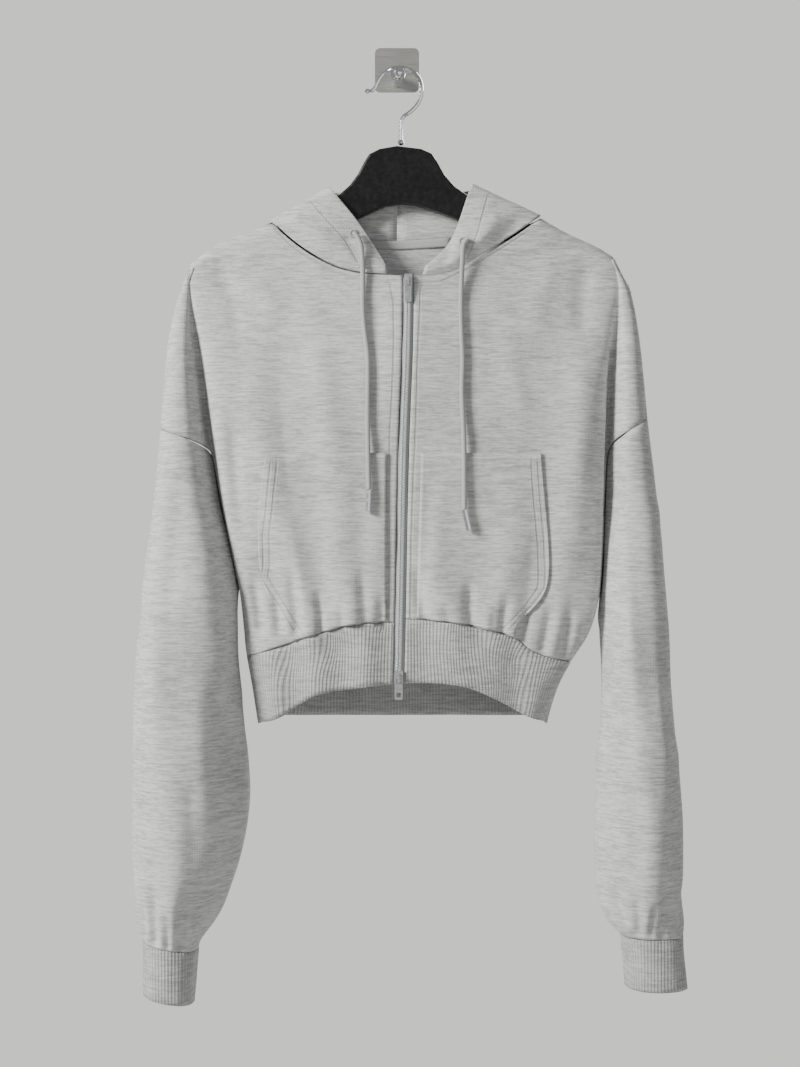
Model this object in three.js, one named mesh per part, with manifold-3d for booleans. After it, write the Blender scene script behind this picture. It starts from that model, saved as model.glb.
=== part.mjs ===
// Zip up hoodie on a hanger, hung from a wall hook. Millimetres, +Z up, the viewer is at -Y.
// The origin is the middle of the wall plate's back face. depth is the distance out from the wall (-y).
// "Right" and "left" are the wearer's, so the right half is at -x.
import * as THREE from "three";
import Module from "manifold-3d";

const wasm = await Module();
wasm.setup();
const { Manifold, CrossSection } = wasm;

const CLOTH = 2.0;
const SEAM_GAP = 0.5;
const PATCH_WALL = 1.6;
const PATCH_GAP = 1.0;
const HANGER_DEPTH = 24;
const HANGER_THICK = 10;
const WRAP_RADIUS = 9;
const ZIP_HALF = 5.2;

const GREY = "#b9bab9";
const RIB_GREY = "#aeb0b0";

const root = new THREE.Group();

// Smooth curve through the rows of a table, with no overshoot between them.
function along(rows, key, at, column) {
  const first = rows[0];
  const last = rows[rows.length - 1];
  const rising = last[key] > first[key];
  const before = (a, b) => (rising ? a <= b : a >= b);
  if (before(at, first[key])) return first[column];
  if (before(last[key], at)) return last[column];
  let i = 0;
  while (!before(at, rows[i + 1][key])) i += 1;
  const slope = (k) =>
    (rows[k + 1][column] - rows[k][column]) / (rows[k + 1][key] - rows[k][key]);
  const tangent = (k) => {
    if (k === 0) return slope(0);
    if (k === rows.length - 1) return slope(k - 1);
    const s0 = slope(k - 1);
    const s1 = slope(k);
    return s0 * s1 <= 0 ? 0 : (2 * s0 * s1) / (s0 + s1);
  };
  const span = rows[i + 1][key] - rows[i][key];
  const t = (at - rows[i][key]) / span;
  const h00 = 2 * t ** 3 - 3 * t ** 2 + 1;
  const h10 = t ** 3 - 2 * t ** 2 + t;
  const h01 = -2 * t ** 3 + 3 * t ** 2;
  const h11 = t ** 3 - t ** 2;
  return (
    h00 * rows[i][column] +
    h10 * span * tangent(i) +
    h01 * rows[i + 1][column] +
    h11 * span * tangent(i + 1)
  );
}

const mix = (a, b, t) => a + (b - a) * t;
const clamp = (v) => Math.min(1, Math.max(0, v));
const smooth = (v) => clamp(v) ** 2 * (3 - 2 * clamp(v));
const bell = (v) => Math.exp(-v * v);
const point = (x, depth, z) => new THREE.Vector3(x, -depth, z);

// Smooth curve through a list of points, at t from 0 to 1.
function through(points, t) {
  const n = points.length - 1;
  const k = Math.min(n - 1, Math.floor(t * n));
  const f = t * n - k;
  const p1 = points[k];
  const p2 = points[k + 1];
  const p0 = k > 0 ? points[k - 1] : p1.clone().multiplyScalar(2).sub(p2);
  const p3 = k < n - 1 ? points[k + 2] : p2.clone().multiplyScalar(2).sub(p1);
  const a = p1.clone().multiplyScalar(2);
  const b = p2.clone().sub(p0).multiplyScalar(f);
  const c = p0.clone().multiplyScalar(2).addScaledVector(p1, -5);
  c.addScaledVector(p2, 4).sub(p3).multiplyScalar(f * f);
  const d = p1.clone().multiplyScalar(3).sub(p0);
  d.addScaledVector(p2, -3).add(p3).multiplyScalar(f * f * f);
  return a.add(b).add(c).add(d).multiplyScalar(0.5);
}

function addMesh(name, geometry, colour, rough = 0.9, metal = 0) {
  geometry.computeVertexNormals();
  const material = new THREE.MeshStandardMaterial({
    color: colour,
    roughness: rough,
    metalness: metal,
  });
  const mesh = new THREE.Mesh(geometry, material);
  mesh.name = name;
  root.add(mesh);
  return mesh;
}

// Surface normals of a grid of points; wraps sideways when it is a tube.
function gridNormals(grid, used, wraps) {
  const rows = grid.length;
  const cols = grid[0].length;
  const has = (i, j) => i >= 0 && i < rows && j >= 0 && j < cols && used[i][j];
  return grid.map((row, i) =>
    row.map((p, j) => {
      if (!used[i][j]) return new THREE.Vector3();
      const east = wraps(i) ? (j + 1) % cols : j + 1;
      const west = wraps(i) ? (j + cols - 1) % cols : j - 1;
      const pe = has(i, east) ? grid[i][east] : p;
      const pw = has(i, west) ? grid[i][west] : p;
      const pn = has(i - 1, j) ? grid[i - 1][j] : p;
      const ps = has(i + 1, j) ? grid[i + 1][j] : p;
      const across = pe.clone().sub(pw);
      const down = ps.clone().sub(pn);
      return down.cross(across).normalize();
    }),
  );
}

// A cloth wall on a grid of middle points. "cell" says which cells are cloth;
// the last column joins the first in rows where "wraps" is true. "square" names
// the axis the wall's edge is cut square to, so that two pieces meet at a seam.
function wallGeometry(grid, cell, wraps, thick, square = () => "") {
  const rows = grid.length;
  const cols = grid[0].length;
  const used = grid.map((row) => row.map(() => false));
  const cells = [];
  for (let i = 0; i < rows - 1; i += 1) {
    for (let j = 0; j < cols; j += 1) {
      const next = j + 1 < cols ? j + 1 : 0;
      if (next === 0 && !(wraps(i) && wraps(i + 1))) continue;
      if (!cell(i, j)) continue;
      cells.push([i, j, next]);
      for (const [r, c] of [[i, j], [i, next], [i + 1, j], [i + 1, next]]) {
        used[r][c] = true;
      }
    }
  }
  const normals = gridNormals(grid, used, wraps);
  const shown = (i, j) => (used[i] && used[i][j] ? grid[i][j] : null);
  const squared = normals.map((row, i) =>
    row.map((n, j) => {
      const axis = square(i, j);
      if (!axis || !used[i][j]) return n;
      if (axis !== "y") return n.clone().setComponent(axis === "x" ? 0 : 2, 0).normalize();
      const top = i === 0;
      const a = (top ? shown(i, j - 1) : shown(i - 1, j)) || grid[i][j];
      const b = (top ? shown(i, j + 1) : shown(i + 1, j)) || grid[i][j];
      const flat = new THREE.Vector3(b.z - a.z, 0, a.x - b.x).normalize();
      const inner = j > cols / 2 ? normals[i + (top ? 2 : 0)][j - 2] : normals[i + (top ? 2 : 0)][j + 2];
      return flat.dot(inner) < 0 ? flat.negate() : flat;
    }),
  );
  const positions = [];
  const id = new Map();
  const vertex = (i, j, side) => {
    const key = `${i},${j},${side}`;
    if (!id.has(key)) {
      id.set(key, positions.length / 3);
      const p = grid[i][j].clone().addScaledVector(squared[i][j], (side * thick) / 2);
      positions.push(p.x, p.y, p.z);
    }
    return id.get(key);
  };
  const faces = [];
  const quad = (a, b, c, d) => faces.push(a, b, c, a, c, d);
  const edges = new Map();
  for (const [i, j, n] of cells) {
    quad(vertex(i, j, 1), vertex(i + 1, j, 1), vertex(i + 1, n, 1), vertex(i, n, 1));
    quad(vertex(i, j, -1), vertex(i, n, -1), vertex(i + 1, n, -1), vertex(i + 1, j, -1));
    const loop = [[i, j], [i + 1, j], [i + 1, n], [i, n]];
    loop.forEach((from, k) => {
      const to = loop[(k + 1) % 4];
      const back = `${to}|${from}`;
      if (edges.has(back)) edges.delete(back);
      else edges.set(`${from}|${to}`, [from, to]);
    });
  }
  for (const [from, to] of edges.values()) {
    quad(vertex(...to, 1), vertex(...from, 1), vertex(...from, -1), vertex(...to, -1));
  }
  const geometry = new THREE.BufferGeometry();
  geometry.setAttribute("position", new THREE.Float32BufferAttribute(positions, 3));
  geometry.setIndex(faces);
  return geometry;
}

const always = () => true;
const never = () => false;

// Zip line down the middle: x and depth at each height.
const ZIP_LINE = [
  { z: -201, x: 10.3, depth: 41 },
  { z: -228, x: 10.4, depth: 44.5 },
  { z: -280, x: 9.3, depth: 53 },
  { z: -332, x: 7.1, depth: 60 },
  { z: -382, x: 5.6, depth: 66 },
  { z: -518, x: 2.9, depth: 76 },
  { z: -575, x: 1.5, depth: 79 },
];

// Each half of the body and its sleeve, by height. x is measured outwards from the middle.
// fold is the front corner of the body, valley the bottom of the crease beside the sleeve,
// out the outer edge of the sleeve, arm its middle depth and half thickness.
const SIDES = {
  right: {
    sign: -1,
    body: [
      { z: -187, foldX: 188, foldD: 30.5, midD: 33, valleyX: 190.5, valleyD: 30.5, backV: 17, backD: 16 },
      { z: -208, foldX: 188, foldD: 31.5, midD: 36, valleyX: 193, valleyD: 29.5, backV: 16, backD: 16 },
      { z: -271, foldX: 177, foldD: 44, midD: 47, valleyX: 184, valleyD: 31, backV: 14, backD: 15.5 },
      { z: -340, foldX: 168, foldD: 54, midD: 59, valleyX: 174, valleyD: 33, backV: 13, backD: 15 },
      { z: -409, foldX: 158, foldD: 60, midD: 66, valleyX: 163, valleyD: 40, backV: 20, backD: 14 },
      { z: -492, foldX: 138, foldD: 66, midD: 72, valleyX: 145, valleyD: 54, backV: 42, backD: 12 },
      { z: -547, foldX: 125, foldD: 70, midD: 76, valleyX: 139, valleyD: 54, backV: 42, backD: 10.5 },
      { z: -575, foldX: 121, foldD: 71, midD: 78, valleyX: 134, valleyD: 53, backV: 41, backD: 10 },
      { z: -615, foldX: 115, foldD: 70, midD: 78, valleyX: 128, valleyD: 52, backV: 40, backD: 10 },
    ],
    arm: [
      { z: -187, inX: 190.5, outX: 192.5, mid: 24, half: 7 },
      { z: -208, inX: 192, outX: 199.5, mid: 24, half: 7.5 },
      { z: -240, inX: 190, outX: 208, mid: 27, half: 13 },
      { z: -271, inX: 187, outX: 213, mid: 31, half: 19 },
      { z: -340, inX: 177.5, outX: 217.5, mid: 37, half: 28 },
      { z: -409, inX: 166.5, outX: 223, mid: 42, half: 34 },
      { z: -492, inX: 148.5, outX: 234, mid: 48, half: 41 },
      { z: -547, inX: 147, outX: 239, mid: 52, half: 45 },
      { z: -592, inX: 142, outX: 242, mid: 54, half: 47 },
      { z: -638, inX: 137, outX: 244.5, mid: 56, half: 49 },
      { z: -684, inX: 133, outX: 247, mid: 57, half: 50 },
      { z: -730, inX: 141, outX: 248, mid: 57, half: 48 },
      { z: -776, inX: 157, outX: 245, mid: 56, half: 42 },
      { z: -799, inX: 170, outX: 239, mid: 55, half: 35 },
      { z: -812, inX: 181, outX: 231, mid: 55, half: 29 },
      { z: -871, inX: 186, outX: 230, mid: 55, half: 27 },
    ],
    cuff: { top: -810, tilt: -9, height: 48, middle: 207 },
    shoulder: [
      { x: 117, z: -150 },
      { x: 146.7, z: -162 },
      { x: 161.7, z: -167.5 },
      { x: 182, z: -180 },
      { x: 193, z: -192 },
      { x: 199.5, z: -207 },
    ],
    neck: [
      { x: 0, z: -201.5 },
      { x: 33, z: -199.5 },
      { x: 54, z: -195 },
      { x: 82, z: -180 },
      { x: 100, z: -167 },
      { x: 117, z: -150 },
    ],
    hemTop: [
      { x: 0, z: -519.5 },
      { x: 33, z: -521.5 },
      { x: 73, z: -532 },
      { x: 124, z: -548 },
      { x: 145, z: -556 },
    ],
    hemBottom: [
      { x: 0, z: -575.4 },
      { x: 35, z: -579 },
      { x: 70, z: -585 },
      { x: 112, z: -608 },
      { x: 135, z: -614 },
    ],
    pocketEdge: [
      { z: -367, x: 119 },
      { z: -410, x: 124 },
      { z: -447, x: 125.5 },
      { z: -478, x: 126 },
      { z: -486, x: 123 },
      { z: -528, x: 98 },
      { z: -540, x: 92 },
    ],
  },
  left: {
    sign: 1,
    body: [
      { z: -187, foldX: 198, foldD: 30.5, midD: 33, valleyX: 201, valleyD: 30.5, backV: 17, backD: 16 },
      { z: -213, foldX: 198.5, foldD: 32, midD: 37, valleyX: 206, valleyD: 29.5, backV: 16, backD: 16 },
      { z: -271, foldX: 193, foldD: 44, midD: 47, valleyX: 199, valleyD: 31, backV: 14, backD: 15.5 },
      { z: -340, foldX: 190, foldD: 54, midD: 59, valleyX: 195, valleyD: 33, backV: 13, backD: 15 },
      { z: -409, foldX: 187, foldD: 60, midD: 66, valleyX: 192, valleyD: 40, backV: 20, backD: 14 },
      { z: -492, foldX: 181, foldD: 66, midD: 72, valleyX: 187, valleyD: 54, backV: 42, backD: 12 },
      { z: -530, foldX: 172, foldD: 70, midD: 75, valleyX: 178, valleyD: 54, backV: 42, backD: 11 },
      { z: -553, foldX: 158, foldD: 68, midD: 76, valleyX: 163, valleyD: 53, backV: 41, backD: 10.5 },
      { z: -578, foldX: 143, foldD: 66, midD: 78, valleyX: 149, valleyD: 51, backV: 39, backD: 10 },
      { z: -612, foldX: 132, foldD: 66, midD: 78, valleyX: 139, valleyD: 50, backV: 38, backD: 10 },
    ],
    arm: [
      { z: -187, inX: 200.5, outX: 205, mid: 24, half: 7 },
      { z: -213, inX: 206, outX: 217, mid: 24.5, half: 8 },
      { z: -249, inX: 204, outX: 223.5, mid: 28, half: 15 },
      { z: -292, inX: 201, outX: 227.5, mid: 33, half: 22 },
      { z: -340, inX: 198.5, outX: 231, mid: 38, half: 29 },
      { z: -409, inX: 195.5, outX: 238.5, mid: 43, half: 35 },
      { z: -455, inX: 193, outX: 241.5, mid: 46, half: 39 },
      { z: -500, inX: 190.5, outX: 245.5, mid: 49, half: 42 },
      { z: -547, inX: 187, outX: 250, mid: 52, half: 45 },
      { z: -592, inX: 188, outX: 254, mid: 54, half: 48 },
      { z: -638, inX: 184, outX: 260.5, mid: 56, half: 50 },
      { z: -684, inX: 182, outX: 265, mid: 57, half: 51 },
      { z: -730, inX: 180, outX: 267, mid: 57, half: 50 },
      { z: -776, inX: 183, outX: 265, mid: 56, half: 44 },
      { z: -792, inX: 190, outX: 263.5, mid: 55, half: 37 },
      { z: -806, inX: 204, outX: 261, mid: 55, half: 30 },
      { z: -860, inX: 210, outX: 266, mid: 55, half: 28 },
    ],
    cuff: { top: -805, tilt: 0, height: 47, middle: 233 },
    shoulder: [
      { x: 134, z: -146 },
      { x: 153.4, z: -158 },
      { x: 178, z: -169 },
      { x: 194.5, z: -177 },
      { x: 207.5, z: -193 },
      { x: 217, z: -213 },
    ],
    neck: [
      { x: 0, z: -201.5 },
      { x: 40, z: -202 },
      { x: 65.6, z: -191 },
      { x: 98.6, z: -171 },
      { x: 121, z: -156 },
      { x: 134, z: -146 },
    ],
    hemTop: [
      { x: 0, z: -516 },
      { x: 43, z: -520 },
      { x: 77, z: -527 },
      { x: 101, z: -533.5 },
      { x: 124, z: -547 },
      { x: 160, z: -556 },
    ],
    hemBottom: [
      { x: 0, z: -575 },
      { x: 31, z: -574.5 },
      { x: 58, z: -577.5 },
      { x: 88, z: -589 },
      { x: 130, z: -608 },
      { x: 150, z: -612 },
    ],
    pocketEdge: [
      { z: -367, x: 131 },
      { z: -405, x: 134 },
      { z: -450, x: 138 },
      { z: -476, x: 139 },
      { z: -490, x: 137.5 },
      { z: -508, x: 125 },
      { z: -530, x: 105 },
    ],
  },
};

// Long soft ridges down the front: x of the crest at three heights, how far it stands out, width.
const RIDGES = {
  right: [
    { top: -295, x0: 133, x1: 120, x2: 92, x3: 72, high: 7, wide: 13 },
    { top: -295, x0: 74, x1: 54, x2: 50, x3: 30, high: 6, wide: 12 },
    { top: -430, x0: 20, x1: 22, x2: 26, x3: 30, high: 3, wide: 8 },
  ],
  left: [
    { top: -410, x0: 22, x1: 26, x2: 46, x3: 56, high: 6, wide: 11 },
    { top: -420, x0: 106, x1: 104, x2: 92, x3: 78, high: 5, wide: 12 },
    { top: -280, x0: 172, x1: 164, x2: 152, x3: 132, high: 7, wide: 13 },
  ],
};

const UNDERARM = -492;
const ARM_SEAM = -367;
const BACK_HEM_TOP = -560;
const BACK_HEM_BOTTOM = -611;

const zipX = (z) => along(ZIP_LINE, "z", z, "x");
const zipDepth = (z) => along(ZIP_LINE, "z", z, "depth");

// Height of the cloth over the hanger's arm, carried on towards the middle at the arm's slope.
function shoulderLine(side, x) {
  const rows = side.shoulder;
  if (x < rows[0].x) return rows[0].z + (rows[0].x - x) * 0.46;
  return along(rows, "x", x, "z");
}

const topLine = (side, x) =>
  x < side.shoulder[0].x ? along(side.neck, "x", x, "z") : shoulderLine(side, x);

// Brings a depth back to the hanger's middle as the cloth turns over the arm.
function wrapOver(side, x, z, depth) {
  const below = shoulderLine(side, x) - z;
  if (below >= WRAP_RADIUS) return depth;
  const t = 1 - Math.max(0, below) / WRAP_RADIUS;
  return HANGER_DEPTH + (depth - HANGER_DEPTH) * Math.sqrt(1 - t * t);
}

function ridgeLift(name, x, z) {
  let lift = 0;
  for (const r of RIDGES[name]) {
    const t = clamp((r.top - z) / (r.top + 560));
    const crest = through(
      [r.x0, r.x1, r.x2, r.x3].map((v) => new THREE.Vector3(v, 0, 0)),
      t,
    ).x;
    const fade = smooth((r.top + 45 - z) / 90);
    lift += r.high * fade * bell((x - crest) / r.wide) * (1 - 0.5 * smooth((-500 - z) / 60));
  }
  return lift;
}

// How far the armhole has opened into the underarm, from the seam's start down.
const underarmShare = (z) => smooth((ARM_SEAM - z) / (ARM_SEAM - UNDERARM));

// The valley's line on the body's side of the seam and on the sleeve's side.
function bodySeamX(name, z) {
  const open = underarmShare(z);
  const line = along(SIDES[name].body, "z", z, "valleyX") + 1.2 * (1 - open);
  return z > ARM_SEAM + 1 ? line : line - SEAM_GAP * 0.7 - 1.25 * open;
}

function sleeveSeamX(name, z) {
  const open = underarmShare(z);
  const line = along(SIDES[name].body, "z", z, "valleyX") + 1.2 * (1 - open);
  return line + SEAM_GAP * 0.7 + 1.25 * open;
}

// Front of the body. c runs from the zip (0) to the fold (1), then on to the valley (2).
function frontPoint(name, c, z) {
  const side = SIDES[name];
  const get = (column) => along(side.body, "z", z, column);
  const start = side.sign * zipX(z) + ZIP_HALF;
  const foldX = get("foldX");
  const foldD = get("foldD");
  const valleyX = get("valleyX");
  const valleyD = get("valleyD");
  const open = underarmShare(z);
  if (c <= 1) {
    const x = mix(start, foldX, c);
    const rise = get("midD") - mix(zipDepth(z), foldD, 0.5);
    let depth = mix(zipDepth(z), foldD, c) + rise * 4 * c * (1 - c);
    depth += ridgeLift(name, x, z) * smooth(c * 6) * smooth((1 - c) * 6);
    depth += 2.5 * smooth((c - 0.8) * 8) * smooth((1.02 - c) * 12) * smooth((-240 - z) / 50);
    const hem = along(side.hemTop, "x", x, "z");
    const above = z - hem;
    const puff = above > 0 ? Math.exp(-((above - 9) ** 2) / 160) : 0;
    const gather = Math.cos(x / 5.6) * 0.8 + Math.cos(x / 9.1 + 1) * 0.9;
    depth += puff * (2.2 + gather) * smooth(c * 8) * smooth((1 - c) * 5);
    return { x, depth };
  }
  const t = c - 1;
  const seam = bodySeamX(name, z);
  const deep = smooth((-205 - z) / 40);
  const footX = seam - mix(1, mix(3.2, 0.8, open), deep);
  const footD = mix(valleyD + 1.6 * deep, mix(foldD, valleyD, 0.75), open);
  const curve = through(
    [
      new THREE.Vector3(foldX, foldD, 0),
      new THREE.Vector3(mix(foldX, footX, 0.6), mix(foldD, footD, 0.5), 0),
      new THREE.Vector3(footX, footD, 0),
      new THREE.Vector3(seam, valleyD, 0),
    ],
    t,
  );
  return { x: curve.x, depth: curve.y };
}

// Back of the body. c runs from the middle (0) to the back valley (2).
function backPoint(name, c, z) {
  const side = SIDES[name];
  const get = (column) => along(side.body, "z", z, column);
  const valleyX = get("valleyX");
  const valleyD = get("backV");
  const flat = get("backD");
  const open = underarmShare(z);
  const corner = valleyX - mix(20, 12, open);
  if (c <= 1) {
    const x = corner * c;
    const ripple = 1.6 * Math.cos(x / 17 + 0.6) * smooth((-300 - z) / 120) * smooth((1 - c) * 4);
    return { x, depth: flat + ripple * smooth((z + 640) / 40) };
  }
  const t = c - 1;
  const curve = through(
    [
      new THREE.Vector3(corner, flat, 0),
      new THREE.Vector3(mix(corner, valleyX, 0.55), mix(flat, valleyD, 0.12), 0),
      new THREE.Vector3(mix(corner, valleyX, 0.9), mix(flat, valleyD, 0.5), 0),
      new THREE.Vector3(bodySeamX(name, z), valleyD, 0),
    ],
    t,
  );
  return { x: curve.x, depth: curve.y };
}

// Sleeve ring. angle 0 is the outer edge, PI the inner edge, positive over the front.
function armPoint(name, angle, z) {
  const side = SIDES[name];
  const get = (column) => along(side.arm, "z", z, column);
  const inX = get("inX");
  const outX = get("outX");
  const round = (v) => Math.sign(v) * Math.abs(v) ** 0.9;
  const x = (inX + outX) / 2 + ((outX - inX) / 2) * round(Math.cos(angle));
  const depth = get("mid") + get("half") * round(Math.sin(angle));
  return { x, depth };
}

const BODY_COLUMNS = [0, 0.06, 0.13, 0.21, 0.3, 0.38, 0.46, 0.54, 0.615, 0.64, 0.72, 0.8, 0.87, 0.93, 1, 1.33, 1.66, 2];
const NECK_COLUMN = 9;
const TOP_ROWS = [0, 0.014, 0.04, 0.085, 0.15, 0.24, 0.36, 0.5, 0.66, 0.83, 1];
const ARM_ROWS = [0, 0.05, 0.11, 0.17, 0.225, 0.2834, 0.35, 0.42, 0.49, 0.56, 0.63, 0.7, 0.77, 0.83, 0.88, 0.92, 0.955, 0.98, 1];
const UNDERARM_ROW = 5;
const HEM_ROWS = [0.35, 0.65, 0.88, 1];
const ARM_LENGTH = 441;

const sweep = (from, to, count) =>
  Array.from({ length: count }, (_, k) => mix(from, to, k / (count - 1)));
const CAP_FRONT = sweep(2.55, 0, 10);
const CAP_BACK = sweep(-0.3, -2.5, 6);
const SLEEVE_FRONT = sweep(2.55, 0, 12);
const SLEEVE_BACK = sweep(-0.25, -2.5, 10);

// Height of the armhole seam round the arm.
function seamZ(name, angle) {
  const t = Math.abs(angle) / Math.PI;
  return name === "right" ? -343 - 24 * t ** 1.6 : -334 - 33 * t ** 1.8;
}

// The columns beside the valley are eased from the valley into the ring.
function capPoint(name, angle, z, front) {
  const side = SIDES[name];
  const ring = armPoint(name, angle, z);
  const fade = 1 - smooth((UNDERARM + 25 - z) / 60);
  const near = smooth((Math.abs(angle) - 2) / 0.65) * fade * smooth((-205 - z) / 40);
  const valley = along(side.body, "z", z, front ? "valleyD" : "backV");
  const open = underarmShare(z);
  const x = sleeveSeamX(name, z) + mix(front ? 3.4 : 6, 1.2, open);
  const depth = valley + (front ? mix(1.8, 6, open) : mix(-0.6, -6, open));
  return { x: mix(ring.x, x, near), depth: mix(ring.depth, depth, near) };
}

const topOfColumn = (name, c) => {
  const side = SIDES[name];
  const start = side.sign * zipX(-201) + ZIP_HALF;
  const fold = side.body[0].foldX;
  const x = c <= 1 ? mix(start, fold, c) : mix(fold, side.body[0].valleyX, c - 1);
  return topLine(side, x);
};

function bodyColumns(name) {
  const side = SIDES[name];
  const start = side.sign * zipX(-201) + ZIP_HALF;
  const share = (x) => (x - start) / (side.body[0].foldX - start);
  const neckX = side.shoulder[0].x;
  return BODY_COLUMNS.map((c, j) => {
    if (j === NECK_COLUMN) return share(neckX);
    return j === NECK_COLUMN - 1 ? share(neckX - 4) : c;
  });
}

const place = (name, flatPoint, z) =>
  point(SIDES[name].sign * flatPoint.x, flatPoint.depth, z);

// Heights of one body column from the top edge to the hem seam.
function bodyHeights(name, top, hem) {
  const list = TOP_ROWS.map((f) => mix(top, ARM_SEAM, f));
  for (let r = 1; r <= UNDERARM_ROW; r += 1) list.push(ARM_SEAM - ARM_ROWS[r] * ARM_LENGTH);
  const last = list[list.length - 1];
  for (const f of HEM_ROWS) list.push(mix(last, hem, f));
  return list;
}

const SEAM_ROW = TOP_ROWS.length - 1;
const SIDE_ROW = SEAM_ROW + UNDERARM_ROW;

function hemTopAt(name, x) {
  return along(SIDES[name].hemTop, "x", x, "z");
}

// Share of the way from the front hem's height to the back hem's, round the side.
const sideHem = (name, share) => {
  const x = frontPoint(name, 1, -545).x;
  return mix(hemTopAt(name, x), BACK_HEM_TOP, share);
};

function frontGrid(name) {
  const columns = bodyColumns(name);
  const side = SIDES[name];
  const grid = [];
  const body = columns.map((c) => {
    const end = frontPoint(name, c, -545).x;
    const hem = c <= 1 ? hemTopAt(name, end) : sideHem(name, (c - 1) * 0.4);
    return bodyHeights(name, topOfColumn(name, c), hem + SEAM_GAP / 2);
  });
  const rows = body[0].length;
  for (let i = 0; i < rows; i += 1) {
    const row = columns.map((c, j) => {
      const z = body[j][i];
      const p = frontPoint(name, c, z);
      p.depth = wrapOver(side, p.x, z, p.depth);
      if (i === 0) p.depth += SEAM_GAP / 2;
      return place(name, p, z);
    });
    CAP_FRONT.forEach((angle, k) => {
      if (i <= SEAM_ROW) {
        const end = armPoint(name, angle, -207);
        const top = shoulderLine(side, end.x);
        const z = mix(top, seamZ(name, angle), TOP_ROWS[i]);
        const p = capPoint(name, angle, z, true);
        p.depth = wrapOver(side, p.x, z, p.depth);
        if (i === 0) p.depth += SEAM_GAP * 0.8;
        if (k === CAP_FRONT.length - 1) p.depth += SEAM_GAP * 2.2;
        if (k === CAP_FRONT.length - 2) p.depth += SEAM_GAP * 1.2;
        row.push(place(name, p, z));
      } else if (i >= SIDE_ROW && k === 0) {
        const last = i === rows - 1;
        const z = last ? sideHem(name, 0.61) + SEAM_GAP / 2 : body[columns.length - 1][i];
        const middle = along(side.body, "z", z, "valleyD") + along(side.body, "z", z, "backV");
        row.push(place(name, { x: bodySeamX(name, z), depth: middle / 2 + SEAM_GAP / 2 }, z));
      } else row.push(new THREE.Vector3());
    });
    grid.push(row);
  }
  return grid;
}

const frontCell = (i, j) => {
  const edge = BODY_COLUMNS.length - 1;
  if (i < SEAM_ROW) return true;
  if (j < edge) return true;
  return i >= SIDE_ROW && j === edge;
};

// The shoulder and outer edges are cut square in depth, the sleeve and hem seams in height.
function frontSquare(i, j) {
  const outer = BODY_COLUMNS.length + CAP_FRONT.length - 1;
  if (i === 0 && j >= NECK_COLUMN) return "y";
  if (j === outer) return "y";
  if (i === SEAM_ROW && j >= BODY_COLUMNS.length) return "z";
  if (j === BODY_COLUMNS.length - 1 && i >= SEAM_ROW && i < SEAM_ROW + 3) return "x";
  return i === SIDE_ROW + HEM_ROWS.length ? "z" : "";
}

const fronts = {};
for (const name of ["right", "left"]) {
  fronts[name] = frontGrid(name);
  addMesh(`front_${name}`, wallGeometry(fronts[name], frontCell, never, CLOTH, frontSquare), GREY);
}

// The back is one panel from the right sleeve's edge to the left sleeve's.
const BACK_COLUMNS = [0, 0.2, 0.4, 0.57, 0.65, 0.69, 0.85, 1, 1.35, 1.7, 2];
const BACK_NECK_COLUMN = 5;
const BACK_NECK = [
  { x: 0, z: -170 },
  { x: 50, z: -168 },
  { x: 90, z: -160 },
  { x: 117, z: -150 },
];

function backTop(name, x) {
  const side = SIDES[name];
  const neckX = side.shoulder[0].x;
  if (x >= neckX) return shoulderLine(side, x);
  const rise = side.shoulder[0].z + 150;
  return along(BACK_NECK, "x", (x * 117) / neckX, "z") + (rise * x) / neckX;
}

function backHalf(name) {
  const side = SIDES[name];
  const corner = side.body[0].valleyX - 20;
  const neckX = side.shoulder[0].x;
  const columns = BACK_COLUMNS.map((c, j) => {
    if (j === BACK_NECK_COLUMN) return neckX / corner;
    return j === BACK_NECK_COLUMN - 1 ? (neckX - 5) / corner : c;
  });
  const heights = columns.map((c) => {
    const x = backPoint(name, c, -187).x;
    const share = c <= 1 ? 1 : mix(1, 0.78, c - 1);
    return bodyHeights(name, backTop(name, x), sideHem(name, share) + SEAM_GAP / 2);
  });
  const grid = [];
  for (let i = 0; i < heights[0].length; i += 1) {
    const row = columns.map((c, j) => {
      const z = heights[j][i];
      const p = backPoint(name, c, z);
      p.depth = wrapOver(side, p.x, z, p.depth);
      if (i === 0 && j >= BACK_NECK_COLUMN) p.depth -= SEAM_GAP / 2;
      return place(name, p, z);
    });
    [...CAP_BACK].reverse().concat(0).forEach((angle, k) => {
      if (i <= SEAM_ROW) {
        const end = armPoint(name, angle, -207);
        const z = mix(shoulderLine(side, end.x), seamZ(name, angle), TOP_ROWS[i]);
        const p = capPoint(name, angle, z, false);
        p.depth = wrapOver(side, p.x, z, p.depth);
        if (i === 0) p.depth -= SEAM_GAP * 0.8;
        if (angle === 0) p.depth -= SEAM_GAP * 2;
        row.push(place(name, p, z));
      } else if (i >= SIDE_ROW && k === 0) {
        const last = i === heights[0].length - 1;
        const z = last ? sideHem(name, 0.61) + SEAM_GAP / 2 : heights[columns.length - 1][i];
        const middle = along(side.body, "z", z, "valleyD") + along(side.body, "z", z, "backV");
        row.push(place(name, { x: bodySeamX(name, z), depth: middle / 2 - SEAM_GAP / 2 }, z));
      } else row.push(new THREE.Vector3());
    });
    grid.push(row);
  }
  return grid;
}

const backRight = backHalf("right");
const backLeft = backHalf("left");
const backGrid = backRight.map((row, i) => [...row.slice(1)].reverse().concat(backLeft[i]));
const BACK_SIDE = backRight[0].length - 1;

function backCell(i, j) {
  const half = BACK_COLUMNS.length - 1;
  const near = j >= BACK_SIDE ? j - BACK_SIDE : BACK_SIDE - 1 - j;
  if (i < SEAM_ROW) return near < BACK_SIDE;
  if (near < half) return true;
  return i >= SIDE_ROW && near === half;
}

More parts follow.
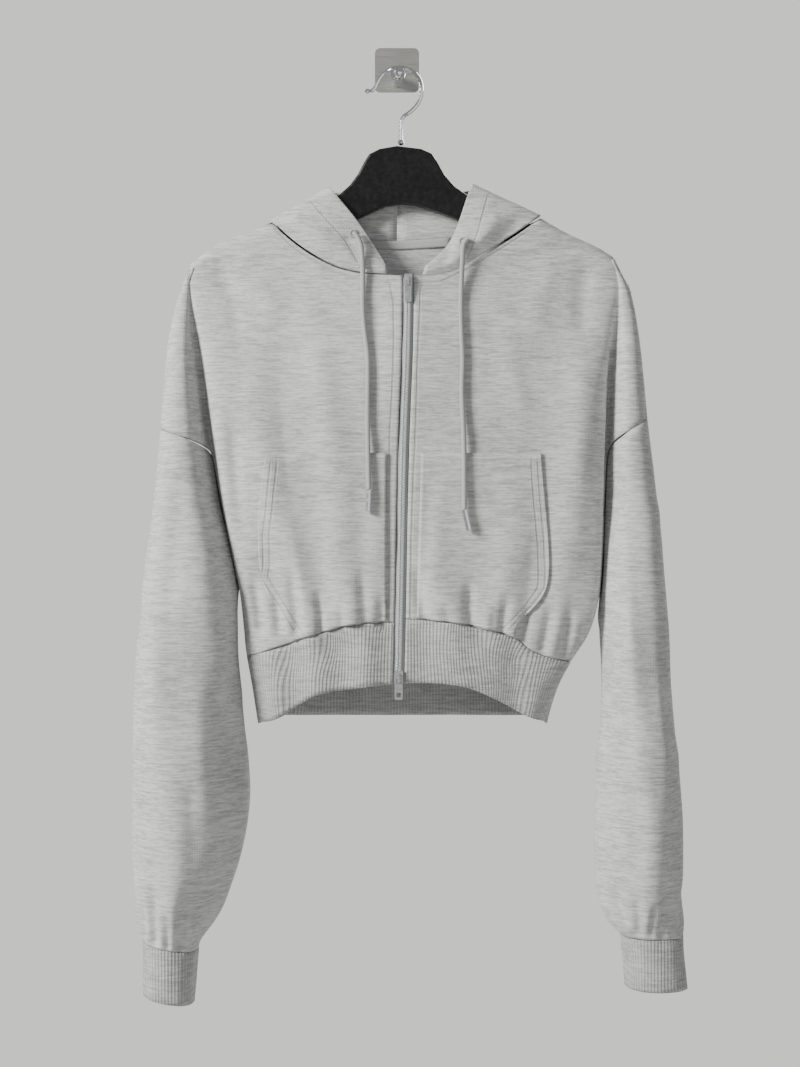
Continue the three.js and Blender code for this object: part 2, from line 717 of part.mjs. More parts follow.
function backSquare(i, j) {
  const near = Math.abs(j - BACK_SIDE);
  if (i === 0 && near >= BACK_NECK_COLUMN) return "y";
  if (near === BACK_SIDE) return "y";
  if (i === SEAM_ROW && near >= BACK_COLUMNS.length) return "z";
  if (near === BACK_COLUMNS.length - 1 && i >= SEAM_ROW && i < SEAM_ROW + 3) return "x";
  return i === SIDE_ROW + HEM_ROWS.length ? "z" : "";
}

addMesh("back", wallGeometry(backGrid, backCell, never, CLOTH, backSquare), GREY);

// Soft folds round a sleeve: where on the ring, heights between which it shows, how far it stands out.
const SLEEVE_FOLDS = {
  right: [
    { angle: 1.0, drift: 0.5, from: -470, to: -800, high: 5, wide: 0.2 },
    { angle: 1.9, drift: -0.3, from: -560, to: -812, high: 5, wide: 0.2 },
    { angle: 0.3, drift: 0.1, from: -620, to: -805, high: 4, wide: 0.18 },
    { angle: -1.2, drift: 0.2, from: -560, to: -806, high: 4, wide: 0.25 },
    { angle: -2.2, drift: 0.1, from: -640, to: -810, high: 4, wide: 0.2 },
  ],
  left: [
    { angle: 2.0, drift: -0.5, from: -450, to: -800, high: 5, wide: 0.2 },
    { angle: 1.1, drift: 0.3, from: -540, to: -800, high: 5, wide: 0.2 },
    { angle: 0.3, drift: 0.1, from: -600, to: -800, high: 3, wide: 0.18 },
    { angle: -1.2, drift: 0.2, from: -560, to: -806, high: 4, wide: 0.25 },
    { angle: -2.2, drift: 0.1, from: -640, to: -806, high: 4, wide: 0.2 },
  ],
};

function sleevePoint(name, angle, z, front) {
  const p = capPoint(name, angle, z, front);
  let lift = 1.3 * Math.cos(7 * angle + 0.8) * smooth((-690 - z) / 90) * smooth((z + 815) / 18);
  for (const f of SLEEVE_FOLDS[name]) {
    const crest = f.angle + (f.drift * (z - f.from)) / (f.to - f.from);
    const fade = smooth((f.from - z) / 70) * smooth((z - f.to) / 35);
    lift += f.high * fade * (bell((angle - crest) / f.wide) - 0.4);
  }
  p.x += lift * Math.cos(angle);
  p.depth += lift * Math.sin(angle);
  return p;
}

function sleeveGrid(name) {
  const side = SIDES[name];
  const cuffTop = (angle) => side.cuff.top + (side.cuff.tilt * (1 - Math.cos(angle))) / 2;
  return ARM_ROWS.map((g, r) => {
    const valley = (front) => {
      const low = r > UNDERARM_ROW;
      const share = (g - ARM_ROWS[UNDERARM_ROW]) / (1 - ARM_ROWS[UNDERARM_ROW]);
      const z = low ? mix(UNDERARM, cuffTop(Math.PI) + SEAM_GAP / 2, share) : ARM_SEAM - g * ARM_LENGTH;
      const ring = armPoint(name, front ? 3.0 : -3.0, z);
      const t = low ? smooth((UNDERARM - z) / 45) : 0;
      const depth = along(side.body, "z", z, front ? "valleyD" : "backV");
      const x = mix(sleeveSeamX(name, z), ring.x, t);
      return place(name, { x, depth: mix(depth, ring.depth, t) }, z);
    };
    const ringAt = (front) => (angle) => {
      const clear = SEAM_GAP * (1 + 4.2 * smooth((Math.abs(angle) - 1.6) / 0.7));
      const z = mix(seamZ(name, angle) - clear, cuffTop(angle) + SEAM_GAP / 2, g);
      return place(name, sleevePoint(name, angle, z, front), z);
    };
    return [valley(true), ...SLEEVE_FRONT.map(ringAt(true)), ...SLEEVE_BACK.map(ringAt(false)), valley(false)];
  });
}

const tubeBelow = (i) => i >= UNDERARM_ROW;
const sleeveSquare = (i, j) => {
  const valley = j === 0 || j === SLEEVE_FRONT.length + SLEEVE_BACK.length + 1;
  if (valley && i < 3) return "x";
  return i === 0 || i === ARM_ROWS.length - 1 ? "z" : "";
};
for (const name of ["right", "left"]) {
  const grid = sleeveGrid(name);
  addMesh(`sleeve_${name}`, wallGeometry(grid, always, tubeBelow, CLOTH, sleeveSquare), GREY);
}

// Ribbed cuffs: short tubes, the inner side tipped down on the right one.
const CUFF_ANGLES = Array.from({ length: 24 }, (_, k) => Math.PI - (k * 2 * Math.PI) / 24);
for (const name of ["right", "left"]) {
  const side = SIDES[name];
  const grid = [0, 0.3, 0.65, 1].map((f) =>
    CUFF_ANGLES.map((angle) => {
      const top = side.cuff.top + (side.cuff.tilt * (1 - Math.cos(angle))) / 2;
      const z = top - SEAM_GAP / 2 - f * side.cuff.height;
      const p = armPoint(name, angle, z);
      const rib = 0.5 * Math.cos(12 * angle) * smooth(f * 4);
      p.x += rib * Math.cos(angle);
      p.depth += rib * Math.sin(angle);
      return place(name, p, z);
    }),
  );
  const square = (i) => (i === 0 ? "z" : "");
  addMesh(`cuff_${name}`, wallGeometry(grid, always, always, CLOTH, square), RIB_GREY);
}

// Hem band: one strip from the zip, round the back, to the zip.
function hemColumn(name, c, kind) {
  const side = SIDES[name];
  return [0, 0.33, 0.66, 1].map((f) => {
    if (kind === "front") {
      const x = frontPoint(name, c, -545).x;
      const top = c <= 1 ? hemTopAt(name, x) : sideHem(name, (c - 1) * 0.4);
      const low = frontPoint(name, Math.min(c, 1), -590).x;
      const bottom = along(side.hemBottom, "x", low, "z") - (c > 1 ? (c - 1) * 3 : 0);
      const z = mix(top - SEAM_GAP / 2, bottom, f);
      return place(name, frontPoint(name, c, z), z);
    }
    const share = c <= 1 ? 1 : mix(1, 0.78, c - 1);
    const z = mix(sideHem(name, share) - SEAM_GAP / 2, BACK_HEM_BOTTOM - (c > 1 ? (c - 1) * 3 : 0), f);
    return place(name, backPoint(name, c, z), z);
  });
}

function hemSideColumn(name) {
  const top = sideHem(name, 0.61) - SEAM_GAP / 2;
  const bottom = BACK_HEM_BOTTOM - 4;
  const side = SIDES[name];
  return [0, 0.33, 0.66, 1].map((f) => {
    const z = mix(top, bottom, f);
    const middle = along(side.body, "z", z, "valleyD") + along(side.body, "z", z, "backV");
    return place(name, { x: bodySeamX(name, z), depth: middle / 2 }, z);
  });
}

const hemHalf = (name) => [
  ...bodyColumns(name).map((c) => hemColumn(name, c, "front")),
  hemSideColumn(name),
  ...[...BACK_COLUMNS].reverse().map((c) => hemColumn(name, c, "back")),
];
const hemColumns = [...hemHalf("right"), ...hemHalf("left").reverse().slice(1)];
const hemGrid = [0, 1, 2, 3].map((i) => hemColumns.map((column) => column[i]));
const hemSquare = (i) => (i === 0 ? "z" : "");
addMesh("hem_band", wallGeometry(hemGrid, always, never, CLOTH, hemSquare), RIB_GREY);

// Patch pockets, made from the front's own points moved out.
const POCKET_COLUMNS = 12;
for (const name of ["right", "left"]) {
  const side = SIDES[name];
  const grid = fronts[name];
  const used = grid.map((row, i) => row.map((_, j) => frontCell(i, j) || frontCell(i, j - 1)));
  const normals = gridNormals(grid, used, never);
  const sign = name === "right" ? -1 : 1;
  const rows = [];
  for (let i = SEAM_ROW; i < grid.length; i += 1) {
    const line = grid[i].slice(0, BODY_COLUMNS.length - 3);
    const edge = along(side.pocketEdge, "z", line[10].z, "x");
    const row = [];
    for (let j = 1; j <= POCKET_COLUMNS; j += 1) {
      const spare = POCKET_COLUMNS - j;
      const x = j === POCKET_COLUMNS ? edge : Math.min(side.sign * line[j].x, edge - 3.2 * spare);
      let k = 0;
      while (k < line.length - 2 && side.sign * line[k + 1].x < x) k += 1;
      const f = (x - side.sign * line[k].x) / (side.sign * (line[k + 1].x - line[k].x));
      const p = line[k].clone().lerp(line[k + 1], f);
      const n = normals[i][k].clone().lerp(normals[i][k + 1], f).normalize();
      row.push(p.addScaledVector(n, sign * (CLOTH / 2 + PATCH_GAP + PATCH_WALL / 2)));
    }
    rows.push(row);
  }
  rows[rows.length - 1].forEach((p) => {
    p.z += 1.5;
  });
  addMesh(`pocket_${name}`, wallGeometry(rows, always, never, PATCH_WALL), GREY);
}

// Hood, folded down: n is the neckline seam, t the turn behind the neck, k the bottom of the
// pouch down the back, r the rim. Rows run from the zip, over the hanger's arm, to the back.
const HOOD = {
  right: [
    { a: 0, nX: 9, nZ: -199.6, nD: 40.5, tX: 9.3, tZ: -197.5, tD: 41, tH: 0, kX: 9.7, kZ: -195.4, kD: 40.8, kH: 0, rX: 10, rZ: -193, rD: 40 },
    { a: 1, nX: 33, nZ: -197.8, nD: 37.4, tX: 29, tZ: -191, tD: 40.5, tH: 0, kX: 24, kZ: -183, kD: 40, kH: 0, rX: 19.7, rZ: -176, rD: 37 },
    { a: 2, nX: 54, nZ: -193, nD: 37, tX: 48, tZ: -183, tD: 41, tH: 0, kX: 39, kZ: -172, kD: 40, kH: 0, rX: 30, rZ: -160, rD: 36 },
    { a: 3, nX: 82, nZ: -178, nD: 36, tX: 72, tZ: -169, tD: 40, tH: 0, kX: 57, kZ: -157, kD: 39, kH: 0, rX: 41, rZ: -144, rD: 35 },
    { a: 4, nX: 100, nZ: -164.5, nD: 34, tX: 88, tZ: -156, tD: 37, tH: 0, kX: 70, kZ: -143, kD: 36, kH: 0, rX: 52, rZ: -131, rD: 33 },
    { a: 5, nX: 113, nZ: -151.8, nD: 31.6, tX: 97, tZ: -142, tD: 32.4, tH: 0, kX: 79, kZ: -131, kD: 32, kH: 0, rX: 60, rZ: -120.5, rD: 31.3 },
    { a: 6, nX: 117.5, nZ: -147, nD: 24, tX: 100, tZ: -137, tD: 24, tH: 0, kX: 82, kZ: -126, kD: 24, kH: 0, rX: 64.3, rZ: -116, rD: 24 },
    { a: 7, nX: 113, nZ: -148.6, nD: 16.2, tX: 94, tZ: -137, tD: 15.6, tH: 0.6, kX: 88, kZ: -143, kD: 13.2, kH: 0.6, rX: 62, rZ: -119, rD: 13 },
    { a: 8, nX: 90, nZ: -158, nD: 15.2, tX: 78, tZ: -126, tD: 13.6, tH: 1.7, kX: 84, kZ: -205, kD: 8.6, kH: 2.4, rX: 52, rZ: -117, rD: 7 },
    { a: 9, nX: 50, nZ: -165.5, nD: 15.1, tX: 42, tZ: -118, tD: 13.3, tH: 1.9, kX: 52, kZ: -262, kD: 8.4, kH: 2.8, rX: 28, rZ: -115, rD: 5.4 },
    { a: 10, nX: 0.5, nZ: -168, nD: 15, tX: 0.5, tZ: -116, tD: 13.2, tH: 1.9, kX: 0.5, kZ: -284, kD: 8.3, kH: 2.9, rX: 0.5, rZ: -114, rD: 5 },
  ],
  left: [
    { a: 0, nX: 24, nZ: -200.2, nD: 40.5, tX: 24.5, tZ: -198, tD: 41, tH: 0, kX: 25.3, kZ: -195.5, kD: 40.8, kH: 0, rX: 26, rZ: -193, rD: 40 },
    { a: 1, nX: 46, nZ: -199, nD: 37.4, tX: 46, tZ: -192, tD: 40.5, tH: 0, kX: 46, kZ: -184, kD: 40, kH: 0, rX: 45.5, rZ: -176, rD: 37 },
    { a: 2, nX: 65.6, nZ: -189, nD: 37, tX: 62, tZ: -180, tD: 41, tH: 0, kX: 58, kZ: -171, kD: 40, kH: 0, rX: 54, rZ: -161, rD: 36 },
    { a: 3, nX: 90, nZ: -173.5, nD: 36, tX: 81, tZ: -165, tD: 40, tH: 0, kX: 71, kZ: -155, kD: 39, kH: 0, rX: 59.5, rZ: -145, rD: 35 },
    { a: 4, nX: 112, nZ: -159.5, nD: 34, tX: 98, tZ: -151, tD: 37, tH: 0, kX: 81, kZ: -141, kD: 36, kH: 0, rX: 64, rZ: -131, rD: 33 },
    { a: 5, nX: 129, nZ: -147.5, nD: 31.6, tX: 110, tZ: -138, tD: 32.4, tH: 0, kX: 89, kZ: -128, kD: 32, kH: 0, rX: 68, rZ: -118.5, rD: 31.3 },
    { a: 6, nX: 134.5, nZ: -142.8, nD: 24, tX: 114, tZ: -133, tD: 24, tH: 0, kX: 92, kZ: -123, kD: 24, kH: 0, rX: 71, rZ: -113, rD: 24 },
    { a: 7, nX: 129, nZ: -145, nD: 16.2, tX: 106, tZ: -134, tD: 15.6, tH: 0.6, kX: 98, kZ: -141, kD: 13.2, kH: 0.6, rX: 69, rZ: -117, rD: 13 },
    { a: 8, nX: 104, nZ: -155.5, nD: 15.2, tX: 88, tZ: -125, tD: 13.6, tH: 1.7, kX: 92, kZ: -205, kD: 8.6, kH: 2.4, rX: 58, rZ: -117, rD: 7 },
    { a: 9, nX: 60, nZ: -164.5, nD: 15.1, tX: 46, tZ: -118, tD: 13.3, tH: 1.9, kX: 56, kZ: -262, kD: 8.4, kH: 2.8, rX: 31, rZ: -115, rD: 5.4 },
    { a: 10, nX: 0.5, nZ: -168, nD: 15, tX: 0.5, tZ: -116, tD: 13.2, tH: 1.9, kX: 0.5, kZ: -284, kD: 8.3, kH: 2.9, rX: 0.5, rZ: -114, rD: 5 },
  ],
};
const HOOD_STEPS = [0, 0.7, 1.4, 2.1, 2.8, 3.5, 4.3, 5, 5.5, 6, 6.5, 7, 7.35, 7.7, 8, 8.6, 9.3, 10];

function hoodColumn(name, a) {
  const at = (column) => along(HOOD[name], "a", a, column);
  const spot = (key, turn, drop) =>
    new THREE.Vector3(at(`${key}X`), at(`${key}D`) + turn * at(`${key}H`), at(`${key}Z`) + drop);
  const edge = (key) => new THREE.Vector3(at(`${key}X`), at(`${key}D`), at(`${key}Z`));
  const n = edge("n");
  const r = edge("r");
  const tight = clamp(at("tH") / 1.9);
  const t1 = spot("t", 1, -2.6 * tight);
  const t2 = spot("t", 0, 0);
  const t3 = spot("t", -1, -2.6 * tight);
  const k1 = spot("k", 1, 3.4 * tight);
  const k2 = spot("k", 0, 0);
  const k3 = spot("k", -1, 3.4 * tight);
  if (tight < 1) {
    const loose = 1 - tight;
    t1.lerp(n.clone().lerp(t2, 0.75), loose);
    t3.lerp(t2.clone().lerp(k2, 0.25), loose);
    k1.lerp(t2.clone().lerp(k2, 0.75), loose);
    k3.lerp(k2.clone().lerp(r, 0.25), loose);
  }
  const list = [
    n,
    n.clone().lerp(t1, 0.55),
    t1,
    t2,
    t3,
    t3.clone().lerp(k1, 0.33),
    t3.clone().lerp(k1, 0.67),
    k1,
    k2,
    k3,
    k3.clone().lerp(r, 0.35),
    k3.clone().lerp(r, 0.7),
    r,
  ];
  return list.map((p) => point(SIDES[name].sign * p.x, p.y, p.z));
}

for (const name of ["right", "left"]) {
  const grid = HOOD_STEPS.map((a) => hoodColumn(name, a));
  const square = (i) => (i === HOOD_STEPS.length - 1 ? "x" : "");
  addMesh(`hood_${name}`, wallGeometry(grid, always, never, CLOTH, square), GREY);
}

// Tape over the neck seam, inside the back.
const TAPE_HALF = 52;
const TAPE_ROWS = [4.5, 0, -3.8];
const tapeGrid = TAPE_ROWS.map((rise) =>
  sweep(-TAPE_HALF, TAPE_HALF, 9).map((x) =>
    point(x, 17.95, backTop(x < 0 ? "right" : "left", Math.abs(x)) + rise),
  ),
);
addMesh("neck_tape", wallGeometry(tapeGrid, always, never, 0.9), RIB_GREY);

// Zip: two tapes, each with its half of the chain along its edge.
const ZIP_TOP = -203;
const ZIP_BOTTOM = -573;
const TAPE_PROFILE = [
  { out: 0.25, front: -1.3 },
  { out: 2.9, front: -1.3 },
  { out: 2.9, front: -0.5 },
  { out: 4.5, front: -0.5 },
  { out: 4.5, front: 0.5 },
  { out: 2.9, front: 0.5 },
  { out: 2.9, front: 1.6 },
  { out: 0.25, front: 1.6 },
];

function tapeSolid(sign) {
  const rows = sweep(ZIP_TOP, ZIP_BOTTOM, 15);
  const n = TAPE_PROFILE.length;
  const positions = [];
  for (const z of rows) {
    for (const p of TAPE_PROFILE) {
      positions.push(zipX(z) + sign * p.out, -(zipDepth(z) + p.front), z);
    }
  }
  const faces = [];
  const tri = (a, b, c) => (sign < 0 ? faces.push(a, b, c) : faces.push(a, c, b));
  for (let i = 0; i < rows.length - 1; i += 1) {
    for (let k = 0; k < n; k += 1) {
      const a = i * n + k;
      const b = i * n + ((k + 1) % n);
      tri(a, a + n, b + n);
      tri(a, b + n, b);
    }
  }
  const caps = [[0, 1, 2], [0, 2, 5], [2, 3, 4], [2, 4, 5], [0, 5, 6], [0, 6, 7]];
  const end = (rows.length - 1) * n;
  for (const [a, b, c] of caps) {
    tri(a, b, c);
    tri(end + a, end + c, end + b);
  }
  const geometry = new THREE.BufferGeometry();
  geometry.setAttribute("position", new THREE.Float32BufferAttribute(positions, 3));
  geometry.setIndex(faces);
  return geometry;
}

addMesh("zip_tape_right", tapeSolid(-1), "#9a9c9d", 0.6);
addMesh("zip_tape_left", tapeSolid(1), "#9a9c9d", 0.6);

// Small hard parts are joined from plain solids.
function fromSolid(solid) {
  const mesh = solid.getMesh();
  const geometry = new THREE.BufferGeometry();
  geometry.setAttribute("position", new THREE.Float32BufferAttribute(mesh.vertProperties, 3));
  geometry.setIndex(new THREE.Uint32BufferAttribute(mesh.triVerts, 1));
  return geometry;
}

const block = (x0, x1, d0, d1, z0, z1) =>
  Manifold.cube([x1 - x0, d1 - d0, z1 - z0]).translate([x0, -d1, z0]);

function roundedBlock(x, width, d0, d1, z0, z1, radius) {
  const shape = CrossSection.square([width - 2 * radius, z1 - z0 - 2 * radius], true)
    .offset(radius, "Round", 2, 16);
  return Manifold.extrude(shape, d1 - d0).rotate([90, 0, 0]).translate([x, -d0, (z0 + z1) / 2]);
}

const SLIDER_PLATE = 1.5;
const SLIDER_CLEAR = 0.35;
const PULL_THICK = 1.2;
const EYE_RADIUS = 0.6;

// Slider: a plate each side of the chain, a post past its end, and an arch for the pull.
function sliderParts(centreZ, height, width, postAtTop) {
  const x = zipX(centreZ);
  const steep = (zipDepth(centreZ - 6) - zipDepth(centreZ + 6)) / 12;
  const d = zipDepth(centreZ);
  const lean = (Math.abs(steep) * height) / 2;
  const top = centreZ + height / 2;
  const low = centreZ - height / 2;
  const front = d + 1.6 + SLIDER_CLEAR + lean;
  const rear = d - 1.3 - SLIDER_CLEAR - lean;
  const face = front + SLIDER_PLATE;
  const postZ = postAtTop ? top - 2.2 : low;
  const pivotD = face + 0.55 + PULL_THICK / 2;
  const archD = pivotD + EYE_RADIUS + 0.35;
  const slider = roundedBlock(x, width, front, face, low, top, 1.4)
    .add(roundedBlock(x, width - 1, rear - 1.2, rear, low, top, 1.4))
    .add(block(x - 1.6, x + 1.6, rear - 0.6, face - 0.6, postZ, postZ + 2.2))
    .add(block(x - 0.8, x + 0.8, face - 0.5, archD + 1.3, centreZ + 2.6, centreZ + 4.1))
    .add(block(x - 0.8, x + 0.8, face - 0.5, archD + 1.3, centreZ - 4.1, centreZ - 2.6))
    .add(block(x - 0.8, x + 0.8, archD, archD + 1.3, centreZ - 4.1, centreZ + 4.1));
  return { slider, x, pivotD };
}

// Pull tab: a bar through the arch, two arms past it, a plate below with an optional window.
function pullTab(x, pivotD, pivotZ, width, length, windowHeight) {
  const half = PULL_THICK / 2;
  const armTop = pivotZ + EYE_RADIUS;
  const plateTop = pivotZ - 5.6;
  const low = pivotZ - length;
  let tab = roundedBlock(x, width, pivotD - half, pivotD + half, low, plateTop, 1.6)
    .add(block(x - width / 2, x - width / 2 + 1.3, pivotD - half, pivotD + half, plateTop - 2, armTop))
    .add(block(x + width / 2 - 1.3, x + width / 2, pivotD - half, pivotD + half, plateTop - 2, armTop))
    .add(block(x - width / 2, x + width / 2, pivotD - half, pivotD + half, pivotZ - EYE_RADIUS, armTop));
  if (windowHeight > 0) {
    const z0 = low + 2.2;
    tab = tab.subtract(
      roundedBlock(x, width - 3.6, pivotD - 3, pivotD + 3, z0, z0 + windowHeight, 0.8),
    );
  }
  return tab;
}

const TOP_SLIDER_Z = -207;
const BOTTOM_SLIDER_Z = -569.5;
const topParts = sliderParts(TOP_SLIDER_Z, 13, 7.6, true);
const bottomParts = sliderParts(BOTTOM_SLIDER_Z, 13, 8, false);
addMesh("zip_slider_top", fromSolid(topParts.slider), "#8f9092", 0.35, 0.9);
addMesh("zip_slider_bottom", fromSolid(bottomParts.slider), "#8f9092", 0.35, 0.9);
const topPull = pullTab(topParts.x, topParts.pivotD, TOP_SLIDER_Z, 6, 20, 0);
const bottomPull = pullTab(bottomParts.x, bottomParts.pivotD, BOTTOM_SLIDER_Z, 7.4, 19.5, 4.2);
addMesh("zip_pull_top", fromSolid(topPull), "#8f9092", 0.35, 0.9);
addMesh("zip_pull_bottom", fromSolid(bottomPull), "#8f9092", 0.35, 0.9);

// Drawcord ends hang down the front from an eyelet each side; each has a metal tip.
const CORD_RADIUS = 2.25;
const TIP_RADIUS = 2.7;
const CORDS = {
  right: [
    { x: 39.5, z: -161.5, off: 3.7 },
    { x: 35.5, z: -168, off: 4.1 },
    { x: 32.4, z: -178, off: 4.9 },
    { x: 31.4, z: -200, off: 5.6 },
    { x: 31.2, z: -236, off: 3.9 },
    { x: 28.4, z: -263, off: 3.8 },
    { x: 26.5, z: -282, off: 3.9 },
    { x: 26.6, z: -331, off: 4.4 },
    { x: 26.1, z: -365, off: 6.4 },
    { x: 25.2, z: -400, off: 7.4 },
  ],
  left: [
    { x: 65.5, z: -168, off: 3.7 },
    { x: 61.5, z: -174, off: 4.1 },
    { x: 60.3, z: -190, off: 4.1 },
    { x: 59.3, z: -215, off: 4.2 },
    { x: 59, z: -245, off: 3.9 },
    { x: 60.3, z: -281, off: 3.8 },
    { x: 59.4, z: -307, off: 3.9 },
    { x: 60.1, z: -332, off: 4.6 },
    { x: 61, z: -366, off: 6.6 },
    { x: 61, z: -418, off: 7.6 },
  ],
};
const TIPS = {
  right: { x: 26, z: -420 },
  left: { x: 65, z: -437 },
};

const HOOD_FRONT = 40.6;

// Depth of the cloth's middle under a cord: the hood's front above the neckline, then the front.
function clothDepth(name, x, z) {
  if (z > -196) return HOOD_FRONT;
  const side = SIDES[name];
  const start = side.sign * zipX(z) + ZIP_HALF;
  const fold = along(side.body, "z", z, "foldX");
  return frontPoint(name, (x - start) / (fold - start), z).depth;
}

function tube(points, radius, sides, steps) {
  const shape = new THREE.Shape();
  for (let k = 0; k < sides; k += 1) {
    const angle = (k * 2 * Math.PI) / sides;
    const x = radius * Math.cos(angle);
    const y = radius * Math.sin(angle);
    if (k === 0) shape.moveTo(x, y);
    else shape.lineTo(x, y);
  }
  const path = new THREE.CatmullRomCurve3(points, false, "centripetal");
  const extruded = new THREE.ExtrudeGeometry(shape, { steps, extrudePath: path, bevelEnabled: false });
  return extruded;
}

for (const name of ["right", "left"]) {
  const sign = SIDES[name].sign;
  const line = CORDS[name].map((p) => point(sign * p.x, clothDepth(name, p.x, p.z) + p.off, p.z));
  addMesh(`drawcord_${name}`, tube(line, CORD_RADIUS, 8, 22), "#c4c5c4");
  const end = line[line.length - 1];
  const before = line[line.length - 2];
  const tip = TIPS[name];
  const tipDepth = clothDepth(name, tip.x, tip.z) + CORDS[name][CORDS[name].length - 1].off + 0.4;
  const finish = point(sign * tip.x, tipDepth, tip.z);
  const start = end.clone().addScaledVector(end.clone().sub(before).normalize(), 0.7);
  addMesh(`aglet_${name}`, tube([start, start.clone().lerp(finish, 0.5), finish], TIP_RADIUS, 12, 2), "#a9abad", 0.3, 0.9);
}

// Hanger: one flat moulding, its arms sloping down inside the shoulders.
const HANGER_EDGE = 2;
const HANGER_OUTLINE = [
  { x: 0, z: -78.3 },
  { x: 22.4, z: -81 },
  { x: 32.6, z: -85.5 },
  { x: 38.2, z: -93.5 },
  { x: 44.7, z: -105.5 },
  { x: 54, z: -116 },
  { x: 66, z: -124.5 },
  { x: 134, z: -155.5 },
  { x: 178, z: -175.5 },
  { x: 196, z: -186 },
  { x: 202, z: -195 },
  { x: 199, z: -202 },
  { x: 190, z: -203 },
  { x: 160, z: -190.5 },
  { x: 100, z: -166 },
  { x: 60, z: -148 },
  { x: 37, z: -139.5 },
  { x: 17.7, z: -133.2 },
  { x: 3.8, z: -131.8 },
  { x: -10.2, z: -134 },
  { x: -25, z: -140.5 },
  { x: -39, z: -147 },
  { x: -90, z: -167.5 },
  { x: -150, z: -193 },
  { x: -179, z: -204.5 },
  { x: -187, z: -203.5 },
  { x: -190, z: -197 },
  { x: -180, z: -186.5 },
  { x: -117, z: -156.5 },
  { x: -57, z: -126.5 },
  { x: -44, z: -115 },
  { x: -36.7, z: -105 },
  { x: -31, z: -94 },
  { x: -26, z: -86 },
  { x: -16, z: -81 },
];

function hangerGeometry() {
  const shape = new THREE.Shape(HANGER_OUTLINE.map((p) => new THREE.Vector2(p.x, p.z)));
  const geometry = new THREE.ExtrudeGeometry(shape, {
    depth: HANGER_THICK - 2 * HANGER_EDGE,
    bevelEnabled: true,
    bevelThickness: HANGER_EDGE,
    bevelSize: HANGER_EDGE,
    bevelOffset: -HANGER_EDGE,
    bevelSegments: 2,
  });
  geometry.rotateX(Math.PI / 2);
  geometry.translate(0, -(HANGER_DEPTH - HANGER_THICK / 2 + HANGER_EDGE), 0);
  return geometry;
}

addMesh("hanger", hangerGeometry(), "#1b1b1d", 0.4);

// Wire hook standing on the hanger, its loop over the wall post.
const WIRE_RADIUS = 1.85;
const WIRE_PATH = [
  { x: 3.8, z: -75.5 },
  { x: 3.8, z: -60 },
  { x: 5.2, z: -51 },
  { x: 12.2, z: -46 },
  { x: 20.2, z: -37.2 },
  { x: 23.2, z: -25 },
  { x: 21.3, z: -15.7 },
  { x: 15, z: -7.7 },
  { x: 8.2, z: -4.6 },
  { x: 1, z: -4 },
  { x: -5.6, z: -5.6 },
  { x: -12.5, z: -10 },
  { x: -17.7, z: -17.1 },
  { x: -20.5, z: -23.5 },
  { x: -24, z: -26.5 },
  { x: -27.5, z: -26.4 },
];

function toSolid(geometry) {
  const source = geometry.attributes.position;
  const seen = new Map();
  const positions = [];
  const faces = [];
  for (let i = 0; i < source.count; i += 1) {
    const p = [source.getX(i), source.getY(i), source.getZ(i)];
    const key = p.map((v) => v.toFixed(4)).join();
    if (!seen.has(key)) {
      seen.set(key, positions.length / 3);
      positions.push(...p);
    }
    faces.push(seen.get(key));
  }
  return new Manifold(
    new wasm.Mesh({
      numProp: 3,
      vertProperties: new Float32Array(positions),
      triVerts: new Uint32Array(faces),
    }),
  );
}

const wirePoints = WIRE_PATH.map((p) => point(p.x, HANGER_DEPTH, p.z));
const wire = toSolid(tube(wirePoints, WIRE_RADIUS, 8, 30));
const collar = Manifold.sphere(3, 12).translate([3.8, -HANGER_DEPTH, -74.3]);
const wireEnd = Manifold.sphere(2.4, 12).translate([-27.6, -HANGER_DEPTH, -26.4]);
addMesh("hanger_hook", fromSolid(wire.add(collar).add(wireEnd)), "#c9cacc", 0.2, 1);

// Wall hook: a square plate, a post standing out of it and a ball at its end.
const PLATE_SIZE = 42;
const PLATE_THICK = 1.2;
const POST_RADIUS = 5;
const POST_Z = -11.6;
const BALL_RADIUS = 7;
const BALL_DEPTH = 34;
addMesh(
  "wall_plate",
  fromSolid(roundedBlock(0, PLATE_SIZE, 0, PLATE_THICK, -PLATE_SIZE / 2, PLATE_SIZE / 2, 5)),
  "#b5b5b3",
  0.35,
  1,
);
const post = Manifold.cylinder(BALL_DEPTH - PLATE_THICK - 0.3, POST_RADIUS, POST_RADIUS, 20)
  .rotate([90, 0, 0])
  .translate([1, -(PLATE_THICK + 0.3), POST_Z]);
const ball = Manifold.sphere(BALL_RADIUS, 20).translate([1, -BALL_DEPTH, POST_Z - 1.5]);
addMesh("wall_post", fromSolid(post.add(ball)), "#b5b5b3", 0.3, 1);

export default root;
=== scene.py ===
"""A light grey zip up hoodie on a black plastic hanger, hung from a small steel wall hook."""

import math

import bmesh
import bpy
import numpy as np
from mathutils import Matrix, Vector
from mathutils.bvhtree import BVHTree


